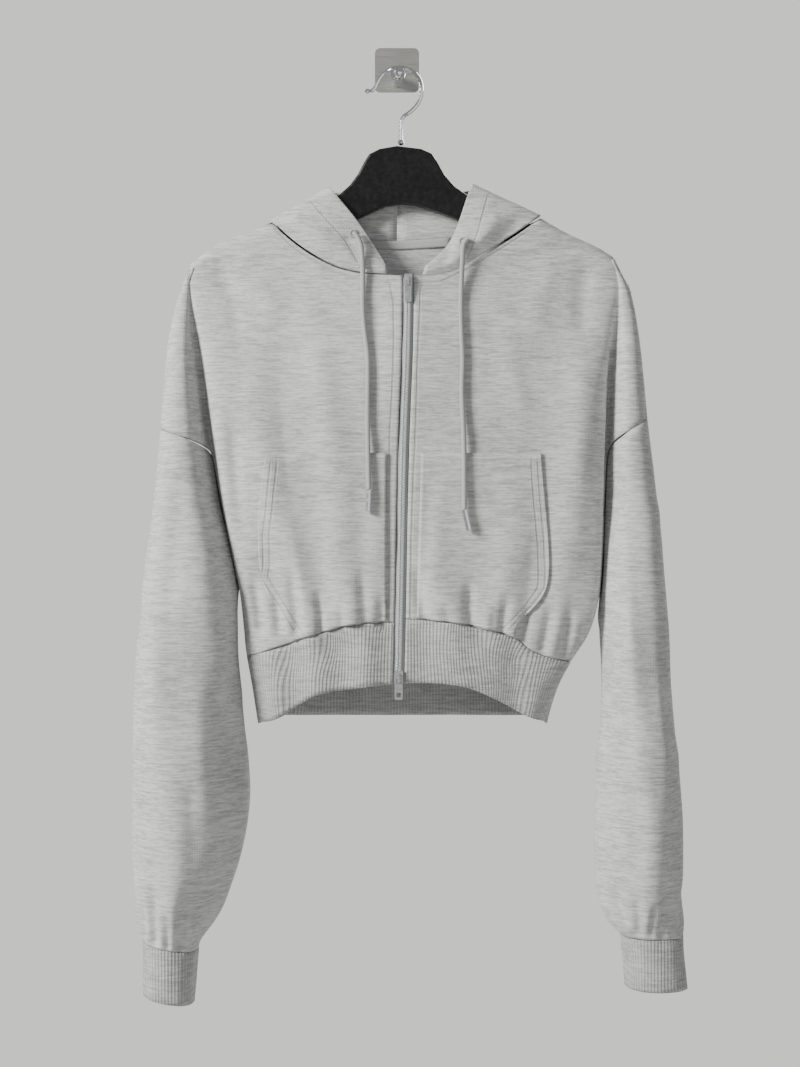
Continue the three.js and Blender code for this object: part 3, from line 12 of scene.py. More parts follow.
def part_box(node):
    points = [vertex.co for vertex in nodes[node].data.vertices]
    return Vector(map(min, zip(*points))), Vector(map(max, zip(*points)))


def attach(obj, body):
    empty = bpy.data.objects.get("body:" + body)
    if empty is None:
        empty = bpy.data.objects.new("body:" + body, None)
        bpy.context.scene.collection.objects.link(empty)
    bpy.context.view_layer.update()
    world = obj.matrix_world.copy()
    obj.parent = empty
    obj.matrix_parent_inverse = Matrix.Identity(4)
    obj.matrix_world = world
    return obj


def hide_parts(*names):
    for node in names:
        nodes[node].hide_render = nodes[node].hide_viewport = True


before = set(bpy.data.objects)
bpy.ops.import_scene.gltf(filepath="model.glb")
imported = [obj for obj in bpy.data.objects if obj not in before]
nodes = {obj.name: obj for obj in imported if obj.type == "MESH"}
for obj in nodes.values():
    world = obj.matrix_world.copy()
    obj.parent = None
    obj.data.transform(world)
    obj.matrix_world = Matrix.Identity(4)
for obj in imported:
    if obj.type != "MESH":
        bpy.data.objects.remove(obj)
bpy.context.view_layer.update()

MM = 0.001

# The photograph is 800 by 1067 pixels, and one pixel is 0.95 mm on the wall.
PIXEL = 0.95 * MM
PHOTO_HEIGHT = 1067
CENTRE_U = 400
CENTRE_V = PHOTO_HEIGHT / 2
SENSOR_WIDTH = 36
EYE = Vector((2.85 * MM, -1.5, -439.85 * MM))


def wall_spot(u, v):
    """The point of the wall behind a pixel of the photograph."""
    return Vector((EYE.x + (u - CENTRE_U) * PIXEL, 0, EYE.z + (CENTRE_V - v) * PIXEL))


def spot(u, v, depth=60):
    """x and z in millimetres of a pixel, at a depth in front of the wall."""
    p = EYE.lerp(wall_spot(u, v), 1 - depth * MM / -EYE.y)
    return p.x / MM, p.z / MM


camera_data = bpy.data.cameras.new("camera")
camera_data.sensor_width = SENSOR_WIDTH
camera_data.lens = SENSOR_WIDTH * -EYE.y / (PHOTO_HEIGHT * PIXEL)
camera = bpy.data.objects.new("camera", camera_data)
camera.location = EYE
camera.rotation_euler = (math.pi / 2, 0, 0)
bpy.context.collection.objects.link(camera)
bpy.context.scene.camera = camera


def material(name, roughness=0.9, metallic=0.0, sheen=0.0, specular=0.3):
    """A new material, with its nodes and its shader."""
    made = bpy.data.materials.new(name)
    made.use_nodes = True
    shader = made.node_tree.nodes["Principled BSDF"]
    shader.inputs["Roughness"].default_value = roughness
    shader.inputs["Metallic"].default_value = metallic
    shader.inputs["Specular IOR Level"].default_value = specular
    if sheen:
        shader.inputs["Sheen Weight"].default_value = sheen
        shader.inputs["Sheen Roughness"].default_value = 0.5
    return made, made.node_tree, shader


def node(tree, kind, **values):
    """A shader node with some of its settings and inputs set."""
    made = tree.nodes.new(kind)
    for key, value in values.items():
        if hasattr(made, key):
            setattr(made, key, value)
        else:
            made.inputs[key.replace("_", " ")].default_value = value
    return made


def noise(tree, scale, detail=2.0, roughness=0.5):
    """Noise in object space, stretched by three scales per metre."""
    place = node(tree, "ShaderNodeTexCoord")
    mapping = node(tree, "ShaderNodeMapping")
    mapping.inputs["Scale"].default_value = scale
    tree.links.new(place.outputs["Object"], mapping.inputs["Vector"])
    made = node(tree, "ShaderNodeTexNoise", Scale=1.0, Detail=detail, Roughness=roughness)
    tree.links.new(mapping.outputs["Vector"], made.inputs["Vector"])
    return made.outputs["Fac"]


def spread(tree, value, low, high, to_low=0.0, to_high=1.0):
    """Maps a value from one range to another, held at its ends."""
    made = node(tree, "ShaderNodeMapRange")
    made.inputs["From Min"].default_value = low
    made.inputs["From Max"].default_value = high
    made.inputs["To Min"].default_value = to_low
    made.inputs["To Max"].default_value = to_high
    tree.links.new(value, made.inputs["Value"])
    return made.outputs["Result"]


def combine(tree, operation, first, second):
    """One maths step between a value and another value or a number."""
    made = node(tree, "ShaderNodeMath", operation=operation)
    tree.links.new(first, made.inputs[0])
    if isinstance(second, (int, float)):
        made.inputs[1].default_value = second
    else:
        tree.links.new(second, made.inputs[1])
    return made.outputs["Value"]


def blend_colours(tree, share, dark, light):
    """A colour between two, by a share; each may be a colour or a socket."""
    made = node(tree, "ShaderNodeMix", data_type="RGBA")
    tree.links.new(share, made.inputs["Factor"])
    for socket, value in ((made.inputs[6], dark), (made.inputs[7], light)):
        if isinstance(value, tuple):
            socket.default_value = (*value, 1)
        else:
            tree.links.new(value, socket)
    return made.outputs[2]


def bump(tree, shader, height, strength, distance):
    """Turns a height into the shader's normal."""
    made = node(tree, "ShaderNodeBump", Strength=strength, Distance=distance)
    tree.links.new(height, made.inputs["Height"])
    tree.links.new(made.outputs["Normal"], shader.inputs["Normal"])


def attribute(tree, name):
    """A value stored on the mesh's points."""
    return node(tree, "ShaderNodeAttribute", attribute_name=name).outputs["Fac"]


HEATHER_DARK = (0.34, 0.345, 0.345)
HEATHER_MIDDLE = (0.50, 0.505, 0.50)
HEATHER_LIGHT = (0.66, 0.665, 0.655)

# The spacing and relief of ribs, and the width and relief of sewn lines; the width also bounds their
# painted shade.
RIB_PITCH = 3.1 * MM
RIB_HEIGHT = 1.7
SEAM_NARROW = 0.35 * MM
SEAM_WIDE = 1.3 * MM
SEAM_HEIGHT = 1.9


def heather(name, shade=1.0, contrast=1.0, seams=(), ribs=0.0):
    """Heather knit: dark and light dashes along the courses, with fibre, and sewn lines whose
    grooves get painted shade.
    """
    made, tree, shader = material(name, roughness=0.95, sheen=0.18, specular=0.15)
    dark = tuple(c * shade for c in HEATHER_DARK)
    middle = tuple(c * shade for c in HEATHER_MIDDLE)
    light = tuple(c * shade for c in HEATHER_LIGHT)
    long_dash = spread(tree, noise(tree, (52, 52, 620), 3.0, 0.6), 0.36, 0.64)
    short_dash = spread(tree, noise(tree, (170, 170, 1100), 2.0, 0.6), 0.38, 0.62)
    cloud = spread(tree, noise(tree, (9, 9, 30), 2.0), 0.3, 0.7, -0.08, 0.08)
    fibre = spread(tree, noise(tree, (1500, 1500, 2100), 2.0), 0.25, 0.75)
    share = combine(tree, "MULTIPLY", long_dash, 0.62 * contrast)
    share = combine(tree, "ADD", share, combine(tree, "MULTIPLY", short_dash, 0.38 * contrast))
    share = combine(tree, "ADD", share, cloud)
    colour = blend_colours(tree, spread(tree, share, 0.0, 0.5), dark, middle)
    colour = blend_colours(tree, spread(tree, share, 0.42, 1.0), colour, light)
    height = combine(tree, "MULTIPLY", fibre, 0.5)
    wale = node(tree, "ShaderNodeTexWave", Scale=210.0, Distortion=1.4, Detail=1.0)
    place = node(tree, "ShaderNodeTexCoord")
    tree.links.new(place.outputs["Object"], wale.inputs["Vector"])
    height = combine(tree, "ADD", height, combine(tree, "MULTIPLY", wale.outputs["Fac"], 0.25))
    if ribs:
        turn = combine(tree, "MULTIPLY", attribute(tree, "around"), 2 * math.pi / ribs)
        wave = spread(tree, combine(tree, "SINE", turn, 0.0), -0.75, 0.6)
        height = combine(tree, "ADD", height, combine(tree, "MULTIPLY", wave, RIB_HEIGHT))
        shadow = blend_colours(tree, wave, (0.80, 0.80, 0.80), (1.0, 1.0, 1.0))
        toned = node(tree, "ShaderNodeMix", data_type="RGBA", blend_type="MULTIPLY")
        toned.inputs["Factor"].default_value = 1.0
        tree.links.new(colour, toned.inputs[6])
        tree.links.new(shadow, toned.inputs[7])
        colour = toned.outputs[2]
    for seam in seams:
        away = combine(tree, "ABSOLUTE", attribute(tree, seam), 0.0)
        open_cloth = spread(tree, away, SEAM_NARROW, SEAM_WIDE)
        height = combine(tree, "ADD", height, combine(tree, "MULTIPLY", open_cloth, SEAM_HEIGHT))
        # Painted shade: the colour is darkened towards the dark heather along each sewn line's
        # groove.
        colour = blend_colours(tree, spread(tree, open_cloth, 0, 1, 0.62, 1), dark, colour)
    tree.links.new(colour, shader.inputs["Base Color"])
    bump(tree, shader, height, 0.55, 0.5 * MM)
    return made


def plain(name, dark, light, scale, roughness, metallic=0.0, strength=0.15, specular=0.5):
    """A hard or small surface with fine grain in its colour, roughness and relief."""
    made, tree, shader = material(name, roughness, metallic, specular=specular)
    grain = spread(tree, noise(tree, scale, 3.0, 0.6), 0.3, 0.7)
    tree.links.new(blend_colours(tree, grain, dark, light), shader.inputs["Base Color"])
    rough = spread(tree, grain, 0, 1, roughness * 0.8, min(1.0, roughness * 1.2))
    tree.links.new(rough, shader.inputs["Roughness"])
    bump(tree, shader, grain, strength, 0.1 * MM)
    return made


fleece = heather("fleece")
fleece_front = heather("fleece_front", seams=("seam_zip", "seam_neck"))
fleece_hood = heather("fleece_hood", seams=("seam_casing",))
fleece_pocket = heather("fleece_pocket", seams=("seam_edge", "seam_inner"))
rib_knit = heather("rib_knit", shade=0.93, contrast=0.9, ribs=RIB_PITCH)
tape_cloth = plain(
    "tape_cloth", (0.34, 0.345, 0.34), (0.5, 0.5, 0.5), (700, 700, 1400), 0.9, 0, 0.5, 0.2)
zip_cloth = plain(
    "zip_cloth", (0.33, 0.34, 0.345), (0.43, 0.44, 0.445), (900, 900, 1500), 0.85, 0, 0.5, 0.2)
teeth_metal = plain(
    "teeth_metal", (0.50, 0.51, 0.52), (0.68, 0.69, 0.70), (400, 400, 400), 0.36, 0.6, 0.1)
slider_metal = plain(
    "slider_metal", (0.62, 0.63, 0.64), (0.80, 0.81, 0.82), (300, 300, 300), 0.28, 0.8, 0.08)
tip_metal = plain(
    "tip_metal", (0.66, 0.67, 0.68), (0.84, 0.85, 0.86), (300, 300, 300), 0.22, 1.0, 0.08)
thread = plain(
    "thread", (0.42, 0.425, 0.42), (0.56, 0.565, 0.56), (1800, 1800, 1800), 0.8, 0, 0.4, 0.3)
hanger_black = plain(
    "hanger_black", (0.004, 0.004, 0.005), (0.009, 0.009, 0.010), (260, 260, 260), 0.36, 0, 0.1, 0.4)
hook_chrome = plain(
    "hook_chrome", (0.62, 0.63, 0.64), (0.76, 0.77, 0.78), (90, 90, 90), 0.14, 1.0, 0.05)
brushed = plain("brushed", (0.47, 0.465, 0.44), (0.64, 0.635, 0.61), (40, 40, 2600), 0.36, 0.9, 0.3)


def cord_cloth():
    """Round braid: two sets of slanted strands over a soft grey cord."""
    made, tree, shader = material("cord_cloth", roughness=0.9, sheen=0.15, specular=0.2)
    place = node(tree, "ShaderNodeTexCoord")
    heights = []
    for lean in (0.9, -0.9):
        mapping = node(tree, "ShaderNodeMapping")
        mapping.inputs["Rotation"].default_value = (0, lean, 0)
        tree.links.new(place.outputs["Object"], mapping.inputs["Vector"])
        wave = node(tree, "ShaderNodeTexWave", Scale=190.0, Distortion=0.4)
        tree.links.new(mapping.outputs["Vector"], wave.inputs["Vector"])
        heights.append(wave.outputs["Fac"])
    height = combine(tree, "MULTIPLY", heights[0], heights[1])
    share = spread(tree, height, 0, 0.7)
    tone = blend_colours(tree, share, (0.34, 0.345, 0.34), (0.53, 0.535, 0.53))
    tree.links.new(tone, shader.inputs["Base Color"])
    bump(tree, shader, height, 0.6, 0.4 * MM)
    return made


braid = cord_cloth()


def link(name, mesh, finish):
    """A new piece of the garment with its finish, riding on the garment."""
    piece = bpy.data.objects.new(name, mesh)
    bpy.context.collection.objects.link(piece)
    piece.data.materials.append(finish)
    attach(piece, "garment")
    return piece


# Both drawcord ends hang from their eyelets down the fronts. x and z in millimetres.
CORD_ROUTES = {
    "right": (
        (-39.5, -161.5), (-35.5, -168), (-32.4, -178), (-31.4, -200), (-31.2, -236),
        (-28.4, -263), (-26.5, -282), (-26.6, -331), (-26.1, -365), (-25.2, -400),
    ),
    "left": (
        (65.5, -168), (61.5, -174), (60.3, -190), (59.3, -215), (59, -245),
        (60.3, -281), (59.4, -307), (60.1, -332), (61, -366), (61, -418),
    ),
}
CORD_DIAMETER = 4.5 * MM
CORD_STEPS = 3
CORD_REACH = 6 * MM


def points_of(name):
    """A CAD node's points in metres."""
    mesh = nodes[name].data
    points = np.zeros(len(mesh.vertices) * 3)
    mesh.vertices.foreach_get("co", points)
    return points.reshape(-1, 3)


def smooth_route(route, steps):
    """Points along a smooth line through the rows of a route."""
    rows = [route[0] * 2 - route[1], *route, route[-1] * 2 - route[-2]]
    made = []
    for a, b, c, d in zip(rows, rows[1:], rows[2:], rows[3:]):
        for t in np.arange(steps) / steps:
            made.append(0.5 * (2 * b + (c - a) * t + (2 * a - 5 * b + 4 * c - d) * t**2
                               + (3 * b - a - 3 * c + d) * t**3))
    return [*made, route[-1]]


def drawcord(name):
    """A drawcord along its route, at the depth of its CAD solid."""
    solid = points_of(f"drawcord_{name}")
    route = []
    for x, z in CORD_ROUTES[name]:
        near = np.exp(-(((solid[:, 2] - z * MM) / CORD_REACH) ** 2))
        y = float((solid[:, 1] * near).sum() / near.sum())
        route.append(Vector((x * MM, y, z * MM)))
    points = smooth_route(route, CORD_STEPS)
    curve = bpy.data.curves.new(f"cord_{name}", "CURVE")
    curve.dimensions = "3D"
    curve.bevel_depth = CORD_DIAMETER / 2
    curve.bevel_resolution = 4
    curve.use_fill_caps = True
    spline = curve.splines.new("POLY")
    spline.points.add(len(points) - 1)
    for place, p in zip(spline.points, points):
        place.co = (*p, 1)
    piece = link(f"cord_{name}", curve, braid)
    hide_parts(f"drawcord_{name}")
    return sum((b - a).length for a, b in zip(points, points[1:]))


for side in ("right", "left"):
    print(f"cord {side} {drawcord(side):.4f} m")


def ease(t):
    """Goes smoothly from 0 to 1."""
    t = np.clip(t, 0, 1)
    return t * t * (3 - 2 * t)


def from_path(x, z, path):
    """Each point's signed distance from a path in the x z plane, and its share along it."""
    best = np.full(x.shape, 1e9)
    signed = np.full(x.shape, 1e9)
    share = np.zeros(x.shape)
    lengths = [math.dist(a, b) for a, b in zip(path, path[1:])]
    done = 0.0
    for (ax, az), (bx, bz), length in zip(path, path[1:], lengths):
        dx, dz = (bx - ax) / length, (bz - az) / length
        along = np.clip((x - ax) * dx + (z - az) * dz, 0, length)
        gap = np.hypot(x - ax - along * dx, z - az - along * dz)
        side = np.sign((x - ax) * dz - (z - az) * dx)
        closer = gap < best
        best = np.where(closer, gap, best)
        signed = np.where(closer, gap * side, signed)
        share = np.where(closer, (done + along) / sum(lengths), share)
        done += length
    return signed, share


# Creases as pixels of the photograph, with how far they stand out in millimetres (minus for a
# valley) and how wide they are. Those of fronts, sleeves and hood follow what the photograph shows.
FRONT_CREASES = (
    ((246, 640), (243, 606), (237, 570), -2.4, 5),
    ((262, 632), (258, 600), (252, 566), -3.0, 5),
    ((281, 634), (279, 612), (274, 590), -1.8, 4),
    ((300, 634), (297, 606), (290, 560), -3.2, 5),
    ((322, 634), (322, 612), (317, 585), -3.0, 4),
    ((343, 632), (343, 616), (340, 600), -1.6, 3.5),
    ((365, 630), (364, 602), (360, 560), -2.4, 5),
    ((381, 628), (382, 610), (380, 590), -1.5, 4),
    ((425, 624), (421, 598), (417, 560), -2.4, 5),
    ((447, 628), (446, 612), (443, 596), -1.5, 4),
    ((470, 632), (468, 606), (470, 574), -3.0, 4.5),
    ((484, 634), (486, 616), (490, 600), 1.4, 4),
    ((500, 638), (503, 612), (508, 586), -2.6, 4.5),
    ((520, 644), (524, 620), (529, 598), -1.8, 4),
    ((540, 652), (546, 626), (552, 596), -3.0, 5),
    ((560, 658), (566, 632), (570, 600), -2.6, 5),
    ((577, 660), (583, 636), (586, 612), -1.8, 4),
    ((214, 262), (232, 300), (240, 352), -1.6, 9),
    ((236, 252), (262, 282), (280, 330), 1.4, 11),
    ((590, 262), (584, 300), (588, 352), -1.8, 9),
    ((556, 256), (540, 296), (536, 350), 1.3, 12),
    ((232, 430), (238, 500), (246, 560), -2.0, 7),
    ((300, 300), (318, 350), (322, 420), 1.2, 12),
    ((378, 300), (374, 360), (377, 430), -1.2, 8),
    ((430, 480), (424, 540), (428, 590), -1.5, 8),
    ((505, 330), (520, 400), (524, 450), 1.2, 11),
    ((612, 360), (600, 440), (594, 520), -1.8, 7),
)
# The back isn't seen, so its creases are guessed. They are placed by the same pixels.
BACK_CREASES = (
    ((250, 655), (254, 620), (262, 570), -2.8, 5),
    ((276, 668), (279, 640), (284, 596), -3.0, 5),
    ((303, 676), (304, 652), (307, 620), -2.2, 4),
    ((330, 682), (331, 650), (328, 598), -3.0, 5),
    ((361, 684), (360, 664), (357, 630), -2.0, 4),
    ((392, 686), (394, 654), (399, 602), -2.8, 5),
    ((424, 686), (423, 662), (421, 632), -2.2, 4),
    ((452, 684), (455, 650), (452, 600), -3.0, 5),
    ((482, 680), (481, 656), (478, 626), -2.2, 4),
    ((511, 674), (509, 640), (503, 592), -3.0, 5),
    ((540, 664), (536, 632), (528, 580), -2.6, 5),
    ((300, 300), (318, 380), (322, 470), 1.8, 14),
    ((360, 310), (352, 420), (360, 540), -1.6, 12),
    ((455, 300), (462, 410), (450, 520), 1.6, 13),
    ((530, 320), (516, 420), (512, 520), -1.8, 12),
)
SLEEVE_CREASES = {
    "right": (
        ((147, 936), (145, 916), (143, 893), -2.6, 4),
        ((158, 940), (157, 912), (153, 876), -3.0, 4.5),
        ((171, 944), (172, 920), (170, 900), -2.0, 3.5),
        ((183, 946), (186, 914), (192, 872), -2.8, 4.5),
        ((197, 942), (202, 920), (208, 898), -2.2, 4),
        ((205, 936), (214, 908), (224, 880), -2.4, 4.5),
        ((182, 470), (176, 560), (166, 650), -1.8, 11),
        ((208, 520), (214, 610), (224, 700), 1.6, 12),
        ((150, 640), (146, 720), (146, 800), 1.5, 12),
        ((226, 700), (238, 752), (242, 800), -2.4, 8),
        ((196, 780), (200, 830), (194, 880), -1.8, 9),
        ((172, 300), (168, 350), (170, 400), -1.4, 9),
    ),
    "left": (
        ((609, 884), (614, 904), (625, 924), -3.6, 4),
        ((634, 930), (634, 906), (628, 876), -2.4, 4.5),
        ((646, 930), (648, 910), (650, 890), -2.2, 3.5),
        ((657, 932), (661, 904), (664, 868), -3.0, 4.5),
        ((669, 932), (673, 912), (677, 894), -2.0, 4),
        ((679, 930), (683, 902), (686, 872), -2.6, 4.5),
        ((598, 706), (622, 718), (644, 716), -2.6, 7),
        ((640, 740), (664, 752), (680, 770), 1.6, 9),
        ((622, 470), (628, 550), (624, 640), -1.8, 11),
        ((652, 500), (656, 600), (664, 690), 1.6, 12),
        ((628, 780), (634, 830), (628, 880), -1.6, 9),
        ((630, 320), (636, 360), (632, 404), -1.4, 9),
    ),
}
HOOD_CREASES = (
    ((292, 214), (316, 228), (340, 248), 1.4, 8),
    ((346, 236), (356, 252), (362, 268), -1.4, 5),
    ((498, 214), (484, 232), (474, 254), 1.4, 7),
    ((520, 220), (506, 232), (490, 246), -1.3, 6),
    ((452, 246), (446, 258), (438, 270), -1.2, 5),
)

# All creases are cut deeper than their listed heights by this factor.
RELIEF = 1.5


def creases(rows, x, z, depth=60):
    """How far the creases lift the cloth at each point, in millimetres."""
    lift = np.zeros(x.shape)
    for *pixels, high, wide in rows:
        path = [spot(u, v, depth) for u, v in pixels]
        gap, share = from_path(x, z, path)
        fade = ease(share / 0.12 + 0.35) * ease((1 - share) / 0.45)
        lift += RELIEF * high * np.exp(-((gap / wide) ** 2)) * fade
    return lift


def unevenness(x, z):
    """The slight hollows and swells of soft cloth, in millimetres."""
    broad = np.sin(x / 23 + 1.1 * np.sin(z / 41)) * np.sin(z / 37 + 0.8 * np.sin(x / 29 + 1))
    fine = np.sin(x / 9.5 + 1.4 * np.sin(z / 19 + 2)) * np.sin(z / 14 + np.sin(x / 13))
    return 0.7 * broad + 0.28 * fine


# A node's middle line is found at this many heights, each within this reach, in millimetres.
RING_COUNT = 40
RING_REACH = 14


def rings(name):
    """Each height's middle of a CAD node, as rows of z, x and depth in millimetres."""
    p = points_of(name) / MM
    heights = np.linspace(p[:, 2].min(), p[:, 2].max(), RING_COUNT)
    rows = []
    for z in heights:
        near = p[np.abs(p[:, 2] - z) < RING_REACH]
        lowest, highest = near.min(axis=0), near.max(axis=0)
        rows.append((z, *((lowest + highest) / 2)[:2]))
    return np.array(rows)


# The fronts and pockets are uneven below this height, in millimetres.
FRONT_UNEVEN_TOP = -190


def front_field(x, y, z):
    """The fronts' creases, all towards the viewer."""
    lift = creases(FRONT_CREASES, x, z) + unevenness(x, z) * ease((FRONT_UNEVEN_TOP - z) / 60)
    return np.zeros(x.shape), -lift


def back_field(x, y, z):
    """The back's creases, all towards the wall."""
    return np.zeros(x.shape), creases(BACK_CREASES, x, z, 20) + unevenness(x + 90, z)


# The hood's two halves are drawn together over their narrow gap, in millimetres.
HOOD_SEAM_REACH = 1.6
HOOD_SEAM_FRONT = -34
HOOD_SEAM_GAP = 0.04
HOOD_MIDDLE = (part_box("hood_right")[1].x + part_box("hood_left")[0].x) / 2 / MM


def hood_field(x, y, z):
    """The hood's soft creases where it turns towards the viewer, and its closed middle seam."""
    facing = ease((-20 - y) / 15)
    away = x - HOOD_MIDDLE
    at_seam = (np.abs(away) < HOOD_SEAM_REACH) & (y > HOOD_SEAM_FRONT)
    closed = np.where(at_seam, HOOD_SEAM_GAP * np.sign(away) - away, 0)
    return closed, -creases(HOOD_CREASES, x, z, 40) * facing


# The creases of sleeves and cuffs start below this height, and those on the hidden side lie
# lower than the shown ones, in millimetres.
SLEEVE_RELIEF_TOP = -372
HIDDEN_DROP = 11


def tube_field(name, side):
    """Creases round a sleeve or a cuff, in and out from its middle line."""
    middle = rings(name)

    def field(x, y, z):
        rx = x - np.interp(z, middle[:, 0], middle[:, 1])
        ry = y - np.interp(z, middle[:, 0], middle[:, 2])
        size = np.maximum(np.hypot(rx, ry), 1e-6)
        rx, ry = rx / size, ry / size
        seen_creases = creases(SLEEVE_CREASES[side], x, z) * ease(-ry * 2 + 0.2)
        mirrored = 2 * np.interp(z, middle[:, 0], middle[:, 1]) - x
        hidden_creases = creases(SLEEVE_CREASES[side], mirrored, z + HIDDEN_DROP)
        hidden_creases *= ease(ry * 2 + 0.2)
        lift = seen_creases + hidden_creases + unevenness(x + 40 * ry, z)
        lift *= ease((SLEEVE_RELIEF_TOP - z) / 30)
        return rx * lift, ry * lift

    return field


def hem_field(x, y, z):
    """The hem band puckers a little under the gathers of front and back."""
    middle = rings("hem_band")
    half = y - np.interp(z, middle[:, 0], middle[:, 2])
    pucker = 0.5 * np.sin(x / 6.1 + 1.2 * np.sin(x / 17)) * ease((z + 640) / 50)
    return np.zeros(x.shape), np.sign(half) * (pucker + unevenness(x, z))


def smooth(mesh):
    """Shades every face of a mesh smoothly."""
    mesh.polygons.foreach_set("use_smooth", np.ones(len(mesh.polygons), bool))


def mesh_of(form, name):
    """Turns a bmesh into a mesh, and frees it."""
    made = bpy.data.meshes.new(name)
    form.to_mesh(made)
    form.free()
    return made


# How a cloth solid's triangles are joined to fours, and which of its edges are kept as rims.
WELD_DISTANCE = 2e-6
JOIN_FACE_ANGLE = math.radians(50)
JOIN_SHAPE_ANGLE = math.radians(60)
RIM_ANGLE = math.radians(66)
SHARP_ANGLE = math.radians(60)


def cloth(name, field, levels, finish):
    """A fine shell of cloth on its CAD solid's form, with its creases."""
    form = bmesh.new()
    form.from_mesh(nodes[name].data)
    bmesh.ops.remove_doubles(form, verts=form.verts, dist=WELD_DISTANCE)
    bmesh.ops.join_triangles(
        form, faces=form.faces, angle_face_threshold=JOIN_FACE_ANGLE,
        angle_shape_threshold=JOIN_SHAPE_ANGLE)
    crease = form.edges.layers.float.new("crease_edge")
    for edge in form.edges:
        if len(edge.link_faces) == 2 and edge.calc_face_angle() > RIM_ANGLE:
            edge[crease] = 1.0
    coarse = mesh_of(form, f"{name}_coarse")
    holder = bpy.data.objects.new(f"{name}_coarse", coarse)
    bpy.context.collection.objects.link(holder)
    fine = holder.modifiers.new("fine", "SUBSURF")
    fine.levels = levels
    fine.render_levels = levels
    seen = holder.evaluated_get(bpy.context.evaluated_depsgraph_get())
    mesh = bpy.data.meshes.new_from_object(seen)
    bpy.data.objects.remove(holder)
    points = np.zeros(len(mesh.vertices) * 3)
    mesh.vertices.foreach_get("co", points)
    p = points.reshape(-1, 3)
    x, y, z = (p / MM).T
    dx, dy = field(x, y, z)
    p[:, 0] += dx * MM
    p[:, 1] += dy * MM
    mesh.vertices.foreach_set("co", p.ravel())
    mesh.update()
    smooth(mesh)
    mesh.set_sharp_from_angle(angle=SHARP_ANGLE)
    piece = link(f"cloth_{name}", mesh, finish)
    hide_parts(name)
    return piece


def store(piece, name, values):
    """Keeps a value on each point of a piece, for its material."""
    made = piece.data.attributes.new(name, "FLOAT", "POINT")
    made.data.foreach_set("value", np.asarray(values, np.float32))


def place_of(piece):
    """A piece's points, as x, y and z in millimetres."""
    points = np.zeros(len(piece.data.vertices) * 3)
    piece.data.vertices.foreach_get("co", points)
    return (points.reshape(-1, 3) / MM).T


# The ring is cut in this many parts, each giving its outermost point.
RING_PARTS = 120


def around(piece):
    """Stores how far round the ring each point lies, in metres, for the ribs."""
    x, y, z = place_of(piece)
    cx, cy = (x.min() + x.max()) / 2, (y.min() + y.max()) / 2
    angle = np.arctan2(y - cy, x - cx)
    radius = np.hypot(x - cx, y - cy)
    outer = []
    for start in np.linspace(-math.pi, math.pi, RING_PARTS + 1)[:-1]:
        near = np.flatnonzero((angle >= start) & (angle < start + 2 * math.pi / RING_PARTS))
        if len(near):
            outer.append(near[np.argmax(radius[near])])
    outer = sorted(outer, key=lambda k: angle[k])
    steps = np.hypot(np.diff(x[outer]), np.diff(y[outer]))
    lengths = np.concatenate([[0], np.cumsum(steps)])
    store(piece, "around", np.interp(angle, angle[outer], lengths) * MM)


shells = {}
for side in ("right", "left"):
    shells[f"front_{side}"] = cloth(f"front_{side}", front_field, 2, fleece_front)
    shells[f"pocket_{side}"] = cloth(f"pocket_{side}", front_field, 2, fleece_pocket)
    shells[f"hood_{side}"] = cloth(f"hood_{side}", hood_field, 2, fleece_hood)
    shells[f"sleeve_{side}"] = cloth(
        f"sleeve_{side}", tube_field(f"sleeve_{side}", side), 2, fleece)
    shells[f"cuff_{side}"] = cloth(
        f"cuff_{side}", tube_field(f"cuff_{side}", side), 2, rib_knit)
shells["back"] = cloth("back", back_field, 2, fleece)
shells["hem_band"] = cloth("hem_band", hem_field, 2, rib_knit)
shells["neck_tape"] = cloth("neck_tape", hood_field, 1, tape_cloth)
for name in ("cuff_right", "cuff_left", "hem_band"):
    around(shells[name])

# The solids leave an opening at each shoulder's end, where front, back and sleeve meet. A strip
# covers it from inside, in millimetres. No solid lies under the strip.
PATCH_HALF_WIDTH = 7.2
PATCH_ROUND = 3.4
PATCH_INSET = 0.9
PATCH_WALL = 1 * MM
PATCH_STEPS = 10
PATCH_DROP = 26
PATCH_STRETCH = 1.06
SHOULDER_LOWEST = -192
SHOULDER_DEPTH = 24.2
SHOULDER_FRONT = -31
TIP_REACH = 0.8
FOOT_REACH = 5


def shoulder_end(side, sign):
    """A small curved strip of cloth just inside the opening at the shoulder's end."""
    p = points_of(f"front_{side}") / MM
    edge = np.abs(p[:, 1] + SHOULDER_DEPTH) < TIP_REACH
    top = p[edge & (p[:, 2] > SHOULDER_LOWEST)]
    tip = top[np.argmax(sign * top[:, 0])]
    at_foot = np.abs(tip[2] - PATCH_DROP - p[:, 2]) < FOOT_REACH
    lower = p[(p[:, 1] > SHOULDER_FRONT) & at_foot]
    foot = lower[np.argmax(sign * lower[:, 0])]
    foot[1] = tip[1]
    run = (foot - tip) / np.linalg.norm(foot - tip)
    out = np.array((-run[2], 0, run[0])) * sign
    points, faces = [], []
    for i in range(PATCH_STEPS + 1):
        middle = tip + (foot - tip) * PATCH_STRETCH * i / PATCH_STEPS
        for k in range(PATCH_STEPS + 1):
            across = 2 * k / PATCH_STEPS - 1
            inwards = PATCH_INSET + PATCH_ROUND * across**2
            place = middle - out * inwards + np.array((0, PATCH_HALF_WIDTH * across, 0))
            points.append(tuple(place * MM))
    for i in range(PATCH_STEPS):
        for k in range(PATCH_STEPS):
            a = i * (PATCH_STEPS + 1) + k
            faces.append((a, a + 1, a + PATCH_STEPS + 2, a + PATCH_STEPS + 1))
    mesh = bpy.data.meshes.new(f"shoulder_end_{side}")
    mesh.from_pydata(points, [], faces)
    smooth(mesh)
    piece = link(f"shoulder_end_{side}", mesh, fleece)
    wall = piece.modifiers.new("wall", "SOLIDIFY")
    wall.thickness = PATCH_WALL


shoulder_end("right", -1)
shoulder_end("left", 1)

